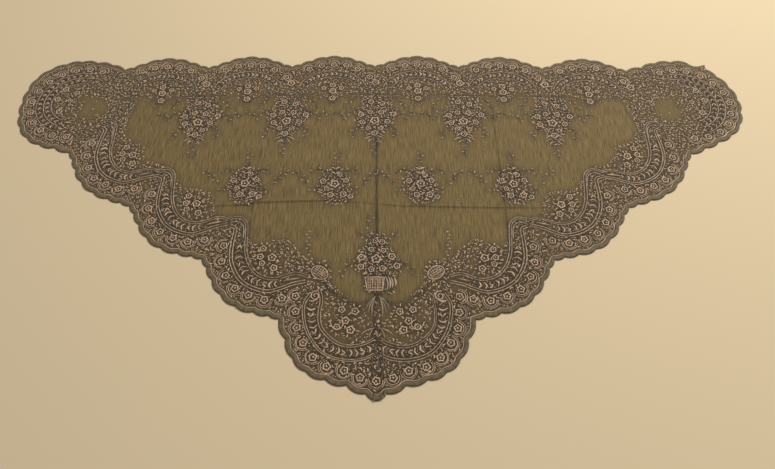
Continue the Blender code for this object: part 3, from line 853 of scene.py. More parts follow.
class Needlework:
    """Threads drawn on the plan that end up as one embroidered piece."""

    waver = 0.3
    uneven_tone = 0.13
    uneven_width = 0.14
    widest_seed = 5.4
    leaf_places = (0.0, 0.25, 0.5, 0.78, 1.0)
    leaf_widths = (0.25, 0.85, 1.0, 0.7, 0.15)
    knot_places = (-0.7, -0.35, 0.35, 0.7)
    knot_widths = (0.45, 0.95, 0.95, 0.45)
    flower_knot = 0.30
    flower_hollow = (0.50, 0.10)
    flower_petals = (0.80, 0.17)
    petal_wave = 0.17
    section = ((1.0, -0.15), (0.55, 0.85), (-0.55, 0.85), (-1.0, -0.15))

    def __init__(self, name: str, seed: int, plan: ThreadMap) -> None:
        """Start an empty piece of embroidery.

        Args:
            name: The name of the finished piece.
            seed: Seed of the small differences between its stitches.
            plan: The raster that all embroidery shares.
        """
        self.name = name
        self.plan = plan
        self.random = np.random.default_rng(seed)
        self.threads: list[Thread] = []

    def lay(self, points: np.ndarray, radii: np.ndarray | float, tone: float, closed: bool = False,
            clearance: float = 0.5) -> None:
        """Add one thread, a little off its place as handwork is, and mark where it lies.

        Args:
            points: The thread's line on the plan, in millimetres.
            radii: Half its width, in millimetres, once or for each point.
            tone: How light the thread is, 0 to 1.
            closed: Whether its last point joins its first one.
            clearance: How much room it keeps beside it, in millimetres.
        """
        points = np.asarray(points, float) + self.random.normal(0.0, self.waver, 2)
        widths = np.full(len(points), radii, float) if np.isscalar(radii) else np.asarray(radii, float)
        shade = float(np.clip(tone + self.random.normal(0.0, 0.06), 0.0, 1.0))
        thread = Thread(points, np.maximum(0.15, widths), shade, closed)
        self.threads.append(thread)
        self.plan.mark(thread, clearance)

    def cord(self, line: np.ndarray, half_width: float, tone: float, step: float = 3.5) -> None:
        """Lay a plain cord along a line."""
        self.lay(resampled(line, step), half_width, tone)

    def twin_cord(self, line: np.ndarray, spread: float = 2.2, half_width: float = 0.95,
                  tone: float = 0.64) -> None:
        """Lay two cords side by side along a line.

        Args:
            line: Points along the line, in millimetres.
            spread: How far each cord lies from the line, in millimetres.
            half_width: Half the width of each cord, in millimetres.
            tone: How light the thread is, 0 to 1.
        """
        dense = resampled(line, 3.5)
        for side in (-spread, spread):
            self.cord(shifted(dense, side), half_width, tone)

    def leaf(self, start: Point, end: Point, width: float, tone: float, bend: float = 0.0) -> None:
        """Lay a satin-stitched leaf, thick in its middle and pointed at its ends.

        Args:
            start: Its root on the plan.
            end: Its tip on the plan.
            width: Its greatest width, in millimetres.
            tone: How light the thread is, 0 to 1.
            bend: How far it curves to its left, as a share of its length.
        """
        start, end = np.asarray(start, float), np.asarray(end, float)
        run = end - start
        side = np.array([-run[1], run[0]])
        t = np.array(self.leaf_places)
        points = start + run * t[:, None] + side * (bend * np.sin(np.pi * t))[:, None]
        self.lay(points, 0.5 * width * np.array(self.leaf_widths), tone)

    def ring(self, middle: Point, radius: float, half_width: float, tone: float, petals: int = 0) -> None:
        """Lay a closed ring, plain or waved into petals.

        Args:
            middle: Its middle on the plan.
            radius: Its radius, in millimetres.
            half_width: Half the thread's width, in millimetres.
            tone: How light the thread is, 0 to 1.
            petals: The number of petals, 0 for a plain ring.
        """
        count = max(10, 4 * petals)
        turn = self.random.uniform(0.0, math.pi)
        angle = 2.0 * np.pi * np.arange(count) / count
        away = radius * (1.0 + (self.petal_wave * np.cos(petals * angle) if petals else 0.0))
        self.lay(around(middle, away, angle + turn), half_width, tone, closed=True)

    def knot(self, middle: Point, radius: float, tone: float) -> None:
        """Lay a round knot."""
        points = np.asarray(middle) + np.outer(self.knot_places, (radius, 0.0))
        self.lay(points, radius * np.array(self.knot_widths), tone)

    def flower(self, middle: Point, radius: float, tone: float = 0.9) -> None:
        """Lay a flower: a light middle, a dark ring and a ring of petals.

        Args:
            middle: Its middle on the plan.
            radius: Its radius, in millimetres.
            tone: How light its petals are, 0 to 1.
        """
        self.knot(middle, self.flower_knot * radius, min(1.0, tone + 0.1))
        (dark_at, dark_width), (petals_at, petals_width) = self.flower_hollow, self.flower_petals
        self.ring(middle, dark_at * radius, dark_width * radius, 0.0)
        self.ring(middle, petals_at * radius, petals_width * radius, tone, petals=5)

    def spiral(self, middle: Point, radius: float, turns: float, start: float, tone: float,
               half_width: float = 1.0) -> None:
        """Lay a thread that winds inwards, as in a rose or a scroll's head.

        Args:
            middle: Its middle on the plan.
            radius: Its radius, in millimetres.
            turns: How often it winds round.
            start: The angle at which it starts, in radians.
            tone: How light the thread is, 0 to 1.
            half_width: Half the thread's width, in millimetres.
        """
        count = max(8, round(turns * 10))
        t = np.linspace(0.0, 1.0, count)
        angle = start + 2.0 * np.pi * turns * t
        away = radius * (1.0 - 0.8 * np.abs(t))
        self.lay(around(middle, away, angle), half_width, tone)

    def running_stitch(self, line: np.ndarray, tone: float) -> None:
        """Lay a row of short stitches along a line.

        Args:
            line: Points along the line, in millimetres.
            tone: How light the thread is, 0 to 1.
        """
        dense = resampled(line, 1.0)
        for start in range(0, len(dense) - 3, 5):
            self.lay(dense[[start, start + 3]], 0.75, tone, clearance=0.3)

    def seed(self, spot: np.ndarray, size: float) -> None:
        """Lay one small curved leaf where there is room for it.

        Args:
            spot: Its middle on the plan.
            size: Its length, in millimetres.
        """
        angle = self.random.uniform(0.0, math.pi)
        way = np.array([math.cos(angle), math.sin(angle)]) * size * self.random.uniform(0.38, 0.55)
        if self.plan.is_free(np.array([spot - way, spot, spot + way])):
            bend = self.random.choice((-0.35, 0.35))
            tone = self.random.uniform(0.38, 1.0)
            width = self.random.uniform(0.4, 0.56) * min(size, self.widest_seed)
            self.leaf(spot - way, spot + way, width, tone, bend)

    def sew(self, surface: ClothSurface, rise: float = 0.0, flatten: float = 0.75) -> bpy.types.Object:
        """Make the threads into one mesh that lies on the cloth.

        Args:
            surface: The lie of the cloth.
            rise: How far the work stands off the cloth's outer face, in millimetres.
            flatten: How far the round threads are pressed flat.

        Returns:
            The finished piece.
        """
        points, faces, tones = [], [], []
        for thread in self.threads:
            first = len(points) * 4
            count = len(thread.points)
            points.extend(self.sections(thread, flatten, self.random.normal(1.0, self.uneven_width, count)))
            shades = np.clip(thread.tone + self.random.normal(0.0, self.uneven_tone, count), 0.0, 1.0)
            tones.append(np.repeat(shades, 4))
            for index in range(count if thread.closed else count - 1):
                here, there = first + 4 * index, first + 4 * ((index + 1) % count)
                for side in range(4):
                    after = (side + 1) % 4
                    faces.append((here + side, there + side, there + after, here + after))
            if not thread.closed:
                last = first + 4 * (count - 1)
                faces.append((first, first + 1, first + 2, first + 3))
                faces.append((last + 3, last + 2, last + 1, last))
        mesh = THREAD_FINISH.mesh(self.name, np.concatenate(points), faces, np.concatenate(tones))
        piece = new_piece(self.name, mesh)
        surface.lay(mesh, rise)
        bpy.ops.object.shade_smooth()
        return piece

    @staticmethod
    def sections(thread: Thread, flatten: float, swell: np.ndarray) -> np.ndarray:
        """Return the corners of a thread's section at each of its points, in metres.

        Args:
            thread: The laid thread.
            flatten: How high it is beside a round thread.
            swell: A factor of its width for each point.

        Returns:
            Four corners for each point.
        """
        line = thread.points
        radii = thread.radii * np.clip(swell, 0.7, 1.3)
        if thread.closed:
            run = np.roll(line, -1, 0) - np.roll(line, 1, 0)
        else:
            run = np.gradient(line, axis=0)
        corners = np.zeros((len(line), 4, 3))
        for index, (across, up) in enumerate(Needlework.section):
            corners[:, index, :2] = line + left_of(run) * (across * radii)[:, None]
            corners[:, index, 2] = up * flatten * radii
        return corners * MM


@dataclass
class ClothPanel:
    """One thin panel of net or lace that lies on the form of its CAD node."""

    name: str
    outline: np.ndarray
    finish: ClothFinish
    painted_fold_shade: float
    work_backing_and_shadow: float = 2.4
    edge_spacing: float = 2.6
    spacing: float = 5.0
    thickness: float = 0.6
    row_margin: float = 2.8
    edge_margin: float = 2.3
    fold_rows: tuple[float, ...] = (-6.6, -4.4, -2.8, -1.4, 0.0, 1.4, 2.8, 4.4, 6.6)

    def build(self, surface: ClothSurface, plan: ThreadMap) -> bpy.types.Object:
        """Fill the outline, lay it on the surface and give it its thickness.

        Args:
            surface: The lie of the cloth.
            plan: The raster that knows where threads lie.

        Returns:
            The finished panel.
        """
        edge = divided(self.outline, self.edge_spacing)
        spots = self.spots(surface, edge)
        points = [Vector(p) for p in np.concatenate([edge, spots])]
        found, _, faces, _, _, _ = delaunay_2d_cdt(points, [], [], 0, 0.01, True)
        flat = np.array([(p.x, p.y) for p in found])
        faces = np.array(faces)
        faces = faces[inside(edge, flat[faces].mean(1))]
        # Painted shade: the ground darkens along the creases, where the folds cast shade. It also darkens
        # under the embroidery, partly for its denser backing stitches and partly as painted shadow between
        # the threads. The same value makes the net less see-through there.
        worked = self.work_backing_and_shadow * plan.cover(flat) + self.painted_fold_shade * surface.fold(flat)
        open_unshaded_net = 1.0 - np.clip(worked, 0.0, 1.0)
        corners = [(x * MM, y * MM, 0.0) for x, y in flat]
        mesh = self.finish.mesh(self.name, corners, faces.tolist(), open_unshaded_net)
        surface.lay(mesh)
        piece = new_piece(self.name, mesh)
        wall = piece.modifiers.new("wall", "SOLIDIFY")
        wall.thickness = self.thickness * MM
        wall.offset = -1.0
        bpy.ops.object.modifier_apply(modifier=wall.name)
        bpy.ops.object.shade_smooth_by_angle(angle=math.radians(50.0))
        return piece

    def spots(self, surface: ClothSurface, edge: np.ndarray) -> np.ndarray:
        """Return points inside the panel: an even spread, and closer rows along the fold lines.

        Args:
            surface: The lie of the cloth.
            edge: The panel's outline, divided into short sides.

        Returns:
            The points, in millimetres.
        """
        low, high = edge.min(0), edge.max(0)
        x, y = np.meshgrid(np.arange(low[0], high[0], self.spacing), np.arange(low[1], high[1], self.spacing))
        x = x + 0.5 * self.spacing * (np.arange(len(x)) % 2)[:, None]
        spread = np.stack([x.ravel(), y.ravel()], 1)
        rows = []
        for crease in surface.creases:
            crest = resampled(np.array([station[:2] for station in crease]), 4.0)
            rows += [shifted(crest, side) for side in self.fold_rows]
        close = np.concatenate(rows)
        near = self.near(spread, close, self.row_margin)
        both = np.concatenate([spread[~near], close])
        both = both[inside(edge, both)]
        return both[~self.near(both, edge, self.edge_margin)]

    @staticmethod
    def near(points: np.ndarray, others: np.ndarray, distance: float) -> np.ndarray:
        """Tell for each point whether one of the others is nearer than a distance.

        Args:
            points: The points that are asked about.
            others: The points near which they may lie.
            distance: The distance, in millimetres.

        Returns:
            True for each point that is so near.
        """
        found = np.zeros(len(points), bool)
        for start in range(0, len(others), 200):
            part = others[start:start + 200]
            gap = np.hypot(points[:, None, 0] - part[None, :, 0], points[:, None, 1] - part[None, :, 1])
            found |= gap.min(1) < distance
        return found


@dataclass
class EdgingBand:
    """The plain satin band that binds the whole scalloped edge."""

    width: float = 6.5
    rise: float = 0.3
    gap: float = 0.05
    overhang: float = 0.3
    stitch_beat: float = 2.4
    name: str = "edging_band"

    def build(self, outline: ClothOutline, surface: ClothSurface) -> bpy.types.Object:
        """Make the band as a closed strip along the edge.

        Args:
            outline: The cut of the cloth.
            surface: The lie of the cloth.

        Returns:
            The finished band.
        """
        edge = shifted(outline.whole_edge(), self.overhang, closed=True)
        rows = [shifted(edge, self.width * share, closed=True) for share in (0.0, 0.3, 0.7, 1.0)]
        heights = (0.0, self.rise, self.rise, 0.0)
        count = len(edge)
        points = [(x * MM, y * MM, h * MM) for row, h in zip(rows, heights) for x, y in row]
        faces = []
        for row in range(len(rows)):
            here, over = row * count, (row + 1) % len(rows) * count
            for index in range(count):
                after = (index + 1) % count
                faces.append((here + index, here + after, over + after, over + index))
        stitches = 0.5 + 0.5 * np.sin(np.arange(count) * self.stitch_beat)
        mesh = EDGING_FINISH.mesh(self.name, points, faces, np.tile(stitches, len(rows)))
        surface.lay(mesh, self.gap)
        piece = new_piece(self.name, mesh)
        bpy.ops.object.shade_smooth()
        return piece


@dataclass
class Patch:
    """A patch of the borders where the net shows between sparser stitches."""

    middle: Point
    radii: Point
    turn: float = 0.0
    share: float = 0.0

    def holds(self, plan: np.ndarray) -> np.ndarray:
        """Tell for each plan point whether it lies in the patch.

        Args:
            plan: Points on the plan, one a row, in millimetres.

        Returns:
            True for each point in the patch.
        """
        away = plan - np.array(self.middle)
        along = away[:, 0] * math.cos(self.turn) + away[:, 1] * math.sin(self.turn)
        across = away[:, 1] * math.cos(self.turn) - away[:, 0] * math.sin(self.turn)
        return np.hypot(along / self.radii[0], across / self.radii[1]) < 1.0

    def mirrored(self) -> Patch:
        """Return the same patch on the other half of the cloth."""
        return Patch((-self.middle[0], self.middle[1]), self.radii, -self.turn, self.share)


@dataclass
class BorderWork:
    """The embroidery of the borders: flowers in each scallop, framed bands and the filling."""

    outline: ClothOutline
    plan: ThreadMap
    flower_radius: float = 6.7
    filling_inset: float = 11.5
    filling_passes: Pairs = ((5.2, 6.6), (3.8, 4.2), (2.8, 2.9))
    band_outer: Line = (
        (-78.0, 76.0), (-64.0, 59.0), (-54.0, 42.0), (-40.0, 24.0), (-15.0, 14.0), (6.0, 12.0),
        (23.0, 16.0), (43.0, 26.0), (57.0, 39.0), (70.0, 56.0), (78.0, 68.0), (86.0, 78.0), (96.0, 76.0),
    )
    band_inner: Line = (
        (-73.0, 84.0), (-56.0, 77.0), (-46.0, 64.0), (-36.0, 49.0), (-21.0, 40.0), (-4.0, 37.0),
        (17.0, 42.0), (36.0, 54.0), (50.0, 68.0), (64.0, 84.0), (78.0, 97.0), (94.0, 98.0), (106.0, 86.0),
    )
    band_head: Line = ((60.0, 72.0), (70.0, 84.0), (80.0, 91.0), (92.0, 90.0), (100.0, 80.0))
    band_end: int = 14
    lobe_middle: float = 72.0
    lobe_leaf: Line = ((-66.0, 74.0), (-48.0, 53.0))
    fan_leaves: int = 7
    fan_start: float = 20.0
    fan_step: float = 23.0
    fan_middle: float = 66.0
    fan_depth: float = 27.0
    fan_reach: Pairs = ((44.0, 0.62), (40.0, 0.9))
    lobe_flowers: Line = (
        (-67.5, 30.0), (-47.0, 10.5), (-21.0, 0.8), (6.0, -3.8), (34.0, 3.0), (58.0, 18.0), (76.0, 41.0),
    )
    lobe_bunch: Flowers = (
        (-20.0, 62.0, 6.5), (-4.0, 74.0, 7.5), (12.0, 64.0, 6.0), (2.0, 56.0, 5.5), (19.0, 78.0, 6.0),
    )
    point_outer: Line = (
        (108.0, -178.0), (118.0, -196.0), (118.0, -216.0), (112.0, -240.0), (100.0, -261.0),
        (88.0, -275.0), (70.0, -285.0), (46.0, -290.0), (22.0, -288.0), (4.0, -280.0),
    )
    point_inner: Line = (
        (96.0, -172.0), (91.0, -190.0), (93.0, -212.0), (90.0, -235.0), (76.0, -253.0),
        (60.0, -264.0), (42.0, -268.0), (20.0, -264.0), (4.0, -256.0),
    )
    point_flowers: Line = (
        (131.0, -211.0), (127.0, -238.0), (115.0, -262.0), (98.0, -285.0), (76.0, -300.0),
        (49.0, -306.0), (25.0, -317.0), (133.0, -184.0),
    )
    point_bunch: Flowers = (
        (36.0, -210.0, 6.5), (57.0, -207.0, 6.0), (50.0, -226.0, 6.5), (64.0, -236.0, 5.5),
        (42.0, -241.0, 7.0),
    )
    wave_flowers: Line = ((-74.0, 30.0), (-50.0, 8.0), (-25.0, -2.0), (0.0, -5.0), (25.0, -2.0), (50.0, 8.0))
    trough_flower: Triple = (-86.0, 46.0, 8.0)
    wave_middle: float = 72.0
    wave_arc_base: float = 70.0
    wave_arc_span: Point = (12.0, 168.0)
    wave_arcs: Pairs = ((70.0, 57.0), (54.0, 40.0))
    wave_bunch: Flowers = (
        (0.0, 52.0, 6.5), (-1.0, 68.0, 7.5), (-1.0, 87.0, 6.5), (17.0, 60.0, 5.0), (-18.0, 60.0, 5.0),
    )
    wave_swag: Line = (
        (-82.0, 78.0), (-52.0, 76.0), (-24.0, 80.0), (-8.0, 96.0), (0.0, 101.0),
        (8.0, 96.0), (24.0, 80.0), (52.0, 76.0), (82.0, 78.0),
    )
    point_scroll: Line = ((75.0, -228.0), (68.0, -240.0), (58.0, -239.0), (54.0, -230.0), (62.0, -224.0))
    point_leaves: tuple[tuple[Point, float, float, float, Line], ...] = (
        ((3.0, -184.0), 2.4, 0.42, 0.08, ((15.0, -216.0), (20.0, -207.0), (8.0, -222.0))),
        ((4.0, -238.0), 2.2, 0.6, 0.1, ((16.0, -244.0), (26.0, -250.0), (12.0, -256.0))),
    )
    point_garland: Line = ((85.0, -164.0), (62.0, -182.0), (34.0, -194.0), (8.0, -190.0))
    point_middle: Point = (0.0, -200.0)
    point_rose: Point = (101.0, -183.0)
    shell_place: Point = (96.0, -141.0)
    shell_radii: Point = (15.0, 11.0)
    shell_turn: float = 34.0
    point_fold: Line = ((1.0, -262.0), (6.0, -276.0), (9.0, -296.0), (6.0, -316.0), (1.0, -332.0))
    point_tip: Point = (0.0, -322.0)
    twig_heights: Triple = (-62.0, -122.0, -6.5)
    twig_top: Point = (121.0, -72.0)
    twig_curve: float = 0.0045
    fold_knot_axis: float = -3.0
    fold_knots: tuple[float, ...] = (-206.0, -222.0, -240.0, -254.0, -266.0)
    edge_line: float = 8.4
    edge_stitches: Point = (10.2, 14.6)
    edge_loops: Pairs = ((10.4, 0.9), (13.0, 0.6))
    tip_flower_ring: float = 87.0
    tip_flower_angles: Triple = (-92.0, 122.0, 18.5)
    tip_heart_span: Point = (-62.0, 96.0)
    tip_arc_span: Point = (-70.0, 105.0)
    tip_hearts: Pairs = ((70.5, 9.5), (56.5, 11.5))
    tip_arcs: Pairs = ((77.5, 0.72), (63.5, 0.66), (48.5, 0.6))
    heart_size: float = 7.8
    tip_bunch: Flowers = (
        (630.0, 262.0, 6.5), (640.0, 236.0, 6.5), (628.0, 205.0, 6.5), (606.0, 252.0, 6.0),
        (614.0, 232.0, 5.0),
    )

    def patches(self) -> list[Patch]:
        """Return the places of the borders where the net shows.

        Returns:
            The patches of both halves, then those of the waves.
        """
        right = [
            Patch((562.0, 212.0), (27.0, 30.0), share=0.03),
            Patch((590.0, 218.0), (32.0, 36.0), share=0.55),
            Patch((50.0, -226.0), (46.0, 36.0), share=0.35),
            Patch((134.0, -160.0), (16.0, 22.0), share=0.35),
            Patch((20.0, -196.0), (26.0, 12.0), share=0.3),
        ]
        for lobe in self.outline.side_lobes:
            x, y = lobe.place(-2.0, 68.0)
            right.append(Patch((float(x), float(y)), (40.0, 27.0), lobe.turn(), 0.4))
            x, y = lobe.place(-70.0, 46.0)
            right.append(Patch((float(x), float(y)), (13.0, 13.0), share=0.4))
        patches = right + [patch.mirrored() for patch in right]
        for wave in self.outline.waves():
            x, y = wave.place(0.0, 67.0)
            patches.append(Patch((float(x), float(y)), (44.0, 21.0), share=0.45))
        return patches

    def scallop_edge(self, work: Needlework) -> None:
        """Lay the lines and the small radial stitches that follow every scallop.

        Args:
            work: The embroidery that takes the threads.
        """
        edge = self.outline.whole_edge()
        line = shifted(edge, self.edge_line, closed=True)
        work.lay(resampled(np.concatenate([line, line[:1]]), 4.0), 0.7, 0.7, clearance=0.4)
        dense = resampled(np.concatenate([edge, edge[:1]]), 5.2)
        near, far = (shifted(dense, inward) for inward in self.edge_stitches)
        for start, end in zip(near, far):
            if work.plan.is_free(np.array([start, (start + end) / 2, end])):
                work.leaf(start, end, 2.1, work.random.uniform(0.5, 0.95), work.random.choice((-0.25, 0.25)))

    def scallop_flower(self, work: Needlework, spot: np.ndarray, outward: np.ndarray) -> None:
        """Lay one flower of the edge with a loop round its outer side.

        Args:
            work: The embroidery that takes the threads.
            spot: Its middle on the plan.
            outward: The direction to the edge.
        """
        work.flower(spot, self.flower_radius)
        turn = math.atan2(outward[1], outward[0])
        for radius, tone in self.edge_loops:
            loop = around(spot, radius, turn + np.linspace(-1.7, 1.7, 13))
            work.lay(loop, 0.7, tone, clearance=0.4)

    def crescents(self, work: Needlework, outer: np.ndarray, inner: np.ndarray, pitch: float = 12.5) -> None:
        """Lay thick curved leaves across the band between two cords.

        Args:
            work: The embroidery that takes the threads.
            outer: The cord nearer to the edge.
            inner: The cord farther from it.
            pitch: The distance from leaf to leaf, in millimetres.
        """
        outer, inner = resampled(outer, 1.0), resampled(inner, 1.0)
        count = max(3, round(len(outer) / pitch))
        for index in range(count):
            share = (index + 0.5) / count
            a = outer[int(share * (len(outer) - 1))]
            b = inner[int(np.argmin(np.hypot(*(inner - a).T)))]
            ahead = outer[min(len(outer) - 1, int(share * len(outer)) + 4)] - a
            ahead = ahead / max(1e-6, np.hypot(*ahead))
            across = b - a
            middle = (a + b) / 2 + ahead * 4.0
            curve = smooth_line([a + across * 0.22, middle, b - across * 0.22])
            size = work.random.uniform(0.7, 1.15)
            if index % 3 == 2:
                for lean in (0.3, 0.7):
                    tip = a + across * 0.5 + ahead * 4.5
                    work.leaf(tip, a + across * lean - ahead * 3.0, 2.8, 0.85, 0.1)
            else:
                work.lay(curve, self.swollen(curve, 1.9 * size), work.random.uniform(0.6, 0.95))
            # A dark thread beside each leaf is painted shadow.
            work.lay(curve - ahead * 4.4, self.swollen(curve, 1.0 * size), 0.12)
            for lean in (0.15, 0.38, 0.62, 0.85):
                work.seed(a + across * lean + ahead * work.random.uniform(5.0, 8.0), 2.6)

    @staticmethod
    def swollen(line: np.ndarray, half_width: float) -> np.ndarray:
        """Return half widths that swell in the middle of a line and end thin."""
        t = np.linspace(0.0, 1.0, len(line))
        return half_width * (0.35 + 0.65 * np.sin(np.pi * t))

    def bunch(self, work: Needlework, flowers: Flowers,
              place: Callable[[float, float], np.ndarray]) -> None:
        """Lay a bunch of flowers with leaves round them.

        Args:
            work: The embroidery that takes the threads.
            flowers: The place and the radius of each flower.
            place: The function that turns such a place into a plan point.
        """
        spots = [place(x, y) for x, y, _ in flowers]
        for spot, (_, _, radius) in zip(spots, flowers):
            work.flower(spot, radius)
        middle = np.mean(spots, 0)
        for spot, (_, _, radius) in zip(spots, flowers):
            outward = (spot - middle) / max(1e-6, math.dist(spot, middle))
            for angle in (-0.9, 0.0, 0.9):
                c, s = math.cos(angle), math.sin(angle)
                way = np.array([outward[0] * c - outward[1] * s, outward[0] * s + outward[1] * c])
                start, end = spot + way * (radius + 1.5), spot + way * (radius + 7.0)
                if work.plan.is_free(np.array([start, (start + end) / 2, end])):
                    work.leaf(start, end, 2.8, 0.8, 0.15)

    def lobes(self, work: Needlework) -> None:
        """Lay the bands, the bunches and the edge's flowers of the three side lobes, right and left.

        Args:
            work: The embroidery that takes the threads.
        """
        for lobe in self.outline.side_lobes:
            lines = [
                smooth_line([tuple(lobe.place(*spot)) for spot in line])
                for line in (self.band_outer, self.band_inner, self.band_head)
            ]
            middle = lobe.place(0.0, self.lobe_middle)
            for side in (1.0, -1.0):
                way = np.array([side, 1.0])
                outer, inner, head = [line * way for line in lines]
                work.twin_cord(outer)
                work.twin_cord(inner, 2.0, 0.85, 0.58)
                work.cord(head, 0.9, 0.62)
                kept = slice(self.band_end, -self.band_end)
                self.crescents(work, outer[kept], inner[kept])
                for spot in self.lobe_flowers:
                    at = lobe.place(*spot)
                    outward = (at - middle) / math.dist(at, middle)
                    self.scallop_flower(work, at * way, outward * way)
                root, tip = (lobe.place(*spot) * way for spot in self.lobe_leaf)
                work.leaf(root, tip, 3.6, 0.6)
                self.bunch(work, self.lobe_bunch, lambda s, d, lobe=lobe, way=way: lobe.place(s, d) * way)
                for index in range(self.fan_leaves):
                    angle = math.radians(self.fan_start + self.fan_step * index)
                    tall = self.fan_depth * math.sin(angle)
                    start, end = (
                        lobe.place(wide * math.cos(angle) * share, self.fan_middle - tall * share)
                        for wide, share in self.fan_reach
                    )
                    if work.plan.is_free(np.array([start, end]) * way):
                        work.leaf(start * way, end * way, 2.6, 0.7, 0.15)

    def top_waves(self, work: Needlework) -> None:
        """Lay the flowers, the arcs and the drop-shaped middle under each wave of the top edge.

        Args:
            work: The embroidery that takes the threads.
        """
        angles = np.radians(np.linspace(*self.wave_arc_span, 36))
        for wave in self.outline.waves():
            middle = wave.place(0.0, self.wave_middle)
            for spot in self.wave_flowers:
                at = wave.place(*spot)
                self.scallop_flower(work, at, (at - middle) / math.dist(at, middle))
            along, inward, radius = self.trough_flower
            work.flower(wave.place(along, inward), radius)
            base = self.wave_arc_base
            outer, inner = (
                np.array([wave.place(wide * math.cos(a), base - tall * math.sin(a)) for a in angles])
                for wide, tall in self.wave_arcs
            )
            work.cord(outer, 0.75, 0.65)
            work.cord(inner, 0.75, 0.55)
            self.crescents(work, outer[3:-3], inner[3:-3], 10.5)
            for along, inward, radius in self.wave_bunch:
                work.flower(wave.place(along, inward), radius)
            swag = smooth_line([tuple(wave.place(*spot)) for spot in self.wave_swag])
            work.running_stitch(swag, 0.3)
            work.running_stitch(shifted(swag, 4.2), 0.5)

    def point(self, work: Needlework) -> None:
        """Lay the two halves of the point's band, its bunches, shells, leaves and garland.

        Args:
            work: The embroidery that takes the threads.
        """
        outer_line, inner_line, scroll, fold = (
            smooth_line(line)
            for line in (self.point_outer, self.point_inner, self.point_scroll, self.point_fold)
        )
        middle = np.array(self.point_middle)
        for side in (1.0, -1.0):
            way = np.array([side, 1.0])
            outer, inner = outer_line * way, inner_line * way
            work.twin_cord(outer, 1.9, 0.8)
            work.twin_cord(inner, 1.8, 0.72, 0.56)
            self.crescents(work, outer[4:], inner[4:], 12.0)
            work.spiral(np.array(self.point_rose) * way, 9.0, 1.5, 1.2, 0.9)
            for spot in self.point_flowers:
                at = np.array(spot)
                outward = (at - middle) / math.dist(at, middle)
                self.scallop_flower(work, at * way, outward * way)
            self.bunch(work, self.point_bunch, lambda x, y, way=way: np.array([x, y]) * way)
            work.lay(scroll * way, 0.9, 0.9)
            for start, width, tone, bend, ends in self.point_leaves:
                for end in ends:
                    work.leaf(np.array(start) * way, np.array(end) * way, width, tone, bend * side)
            self.shell(work, np.array(self.shell_place), way)
            for drop in (0.0, -5.0):
                garland = smooth_line([(x, y + drop) for x, y in self.point_garland])
                work.running_stitch(garland * way, 0.1)
            self.twig(work, way)
            # A dark thread along the pinched fold: partly the dark outline of the lens there, partly painted
            # shade in the fold's valley.
            work.lay(fold * way + (2.0, 0.0), self.swollen(fold, 1.1), 0.1)
        self.scallop_flower(work, np.array(self.point_tip), np.array([0.0, -1.0]))
        for y in self.fold_knots:
            work.knot(np.array([self.fold_knot_axis, y]), 2.2, 0.0)

    def twig(self, work: Needlework, way: np.ndarray) -> None:
        """Lay the curved twig above the shell, with leaves on both its sides.

        Args:
            work: The embroidery that takes the threads.
            way: The factors of x and y that put it on the right or the left half.
        """
        axis, top = self.twig_top
        for index, y in enumerate(np.arange(*self.twig_heights)):
            x = axis - self.twig_curve * (y - top) ** 2
            lean = 1.0 if index % 2 else -1.0
            work.leaf(np.array([x, y]) * way, np.array([x + 4.5 * lean, y - 3.0]) * way, 2.6, 0.7)
            work.leaf(np.array([x, y]) * way, np.array([x, y - 5.0]) * way, 1.4, 0.3)

    def shell(self, work: Needlework, middle: np.ndarray, way: np.ndarray) -> None:
        """Lay a shell filled with a grid of threads.

        Args:
            work: The embroidery that takes the threads.
            middle: Its middle on the right half.
            way: The factors of x and y that put it on the right or the left half.
        """
        wide_radius, tall_radius = self.shell_radii
        turn = math.radians(self.shell_turn)
        c, s = math.cos(turn), math.sin(turn)

        def at(x: float, y: float) -> np.ndarray:
            """Return the plan point of a place in the shell's own axes."""
            return (middle + (x * c - y * s, x * s + y * c)) * way

        angles = np.linspace(0.0, 2.0 * math.pi, 18)[:-1]
        rim = [at(wide_radius * math.cos(a), tall_radius * math.sin(a)) for a in angles]
        work.lay(np.array(rim), 1.1, 0.95, closed=True)
        for x in np.arange(-10.0, 10.1, 4.0):
            tall = tall_radius * math.sqrt(1.0 - (x / wide_radius) ** 2) - 1.5
            work.lay(np.array([at(x, -tall), at(x, tall)]), 0.6, 0.75, clearance=0.0)
        for y in np.arange(-7.0, 7.1, 4.0):
            wide = wide_radius * math.sqrt(1.0 - (y / tall_radius) ** 2) - 1.5
            work.lay(np.array([at(-wide, y), at(wide, y)]), 0.6, 0.75, clearance=0.0)
        for index in range(7):
            angle = math.radians(-20.0 + 38.0 * index)
            work.leaf(at(17.0 * math.cos(angle), 13.0 * math.sin(angle)),
                      at(23.0 * math.cos(angle), 18.0 * math.sin(angle)), 2.8, 0.75)

    def tips(self, work: Needlework) -> None:
        """Lay the rows of hearts, the flowers, the arcs and the bunch of each tip.

        Args:
            work: The embroidery that takes the threads.
        """
        middle = np.array(self.outline.tip_middle)
        for side in (1.0, -1.0):
            way = np.array([side, 1.0])
            for angle in np.arange(*self.tip_flower_angles):
                at = self.round_tip(angle, self.tip_flower_ring)
                self.scallop_flower(work, at * way, (at - middle) / self.tip_flower_ring * way)
            for radius, step in self.tip_hearts:
                for angle in np.arange(*self.tip_heart_span, step):
                    self.heart(work, self.round_tip(angle, radius), math.radians(angle), way, self.heart_size)
            for radius, tone in self.tip_arcs:
                angles = np.linspace(*self.tip_arc_span, 40)
                arc = np.array([self.round_tip(angle, radius) for angle in angles])
                work.cord(arc * way, 0.85, tone)
            self.bunch(work, self.tip_bunch, lambda x, y, way=way: np.array([x, y]) * way)

    def round_tip(self, angle: float, radius: float) -> np.ndarray:
        """Return a point round the middle of the right tip."""
        turn = math.radians(angle)
        return np.array(self.outline.tip_middle) + radius * np.array([math.cos(turn), math.sin(turn)])

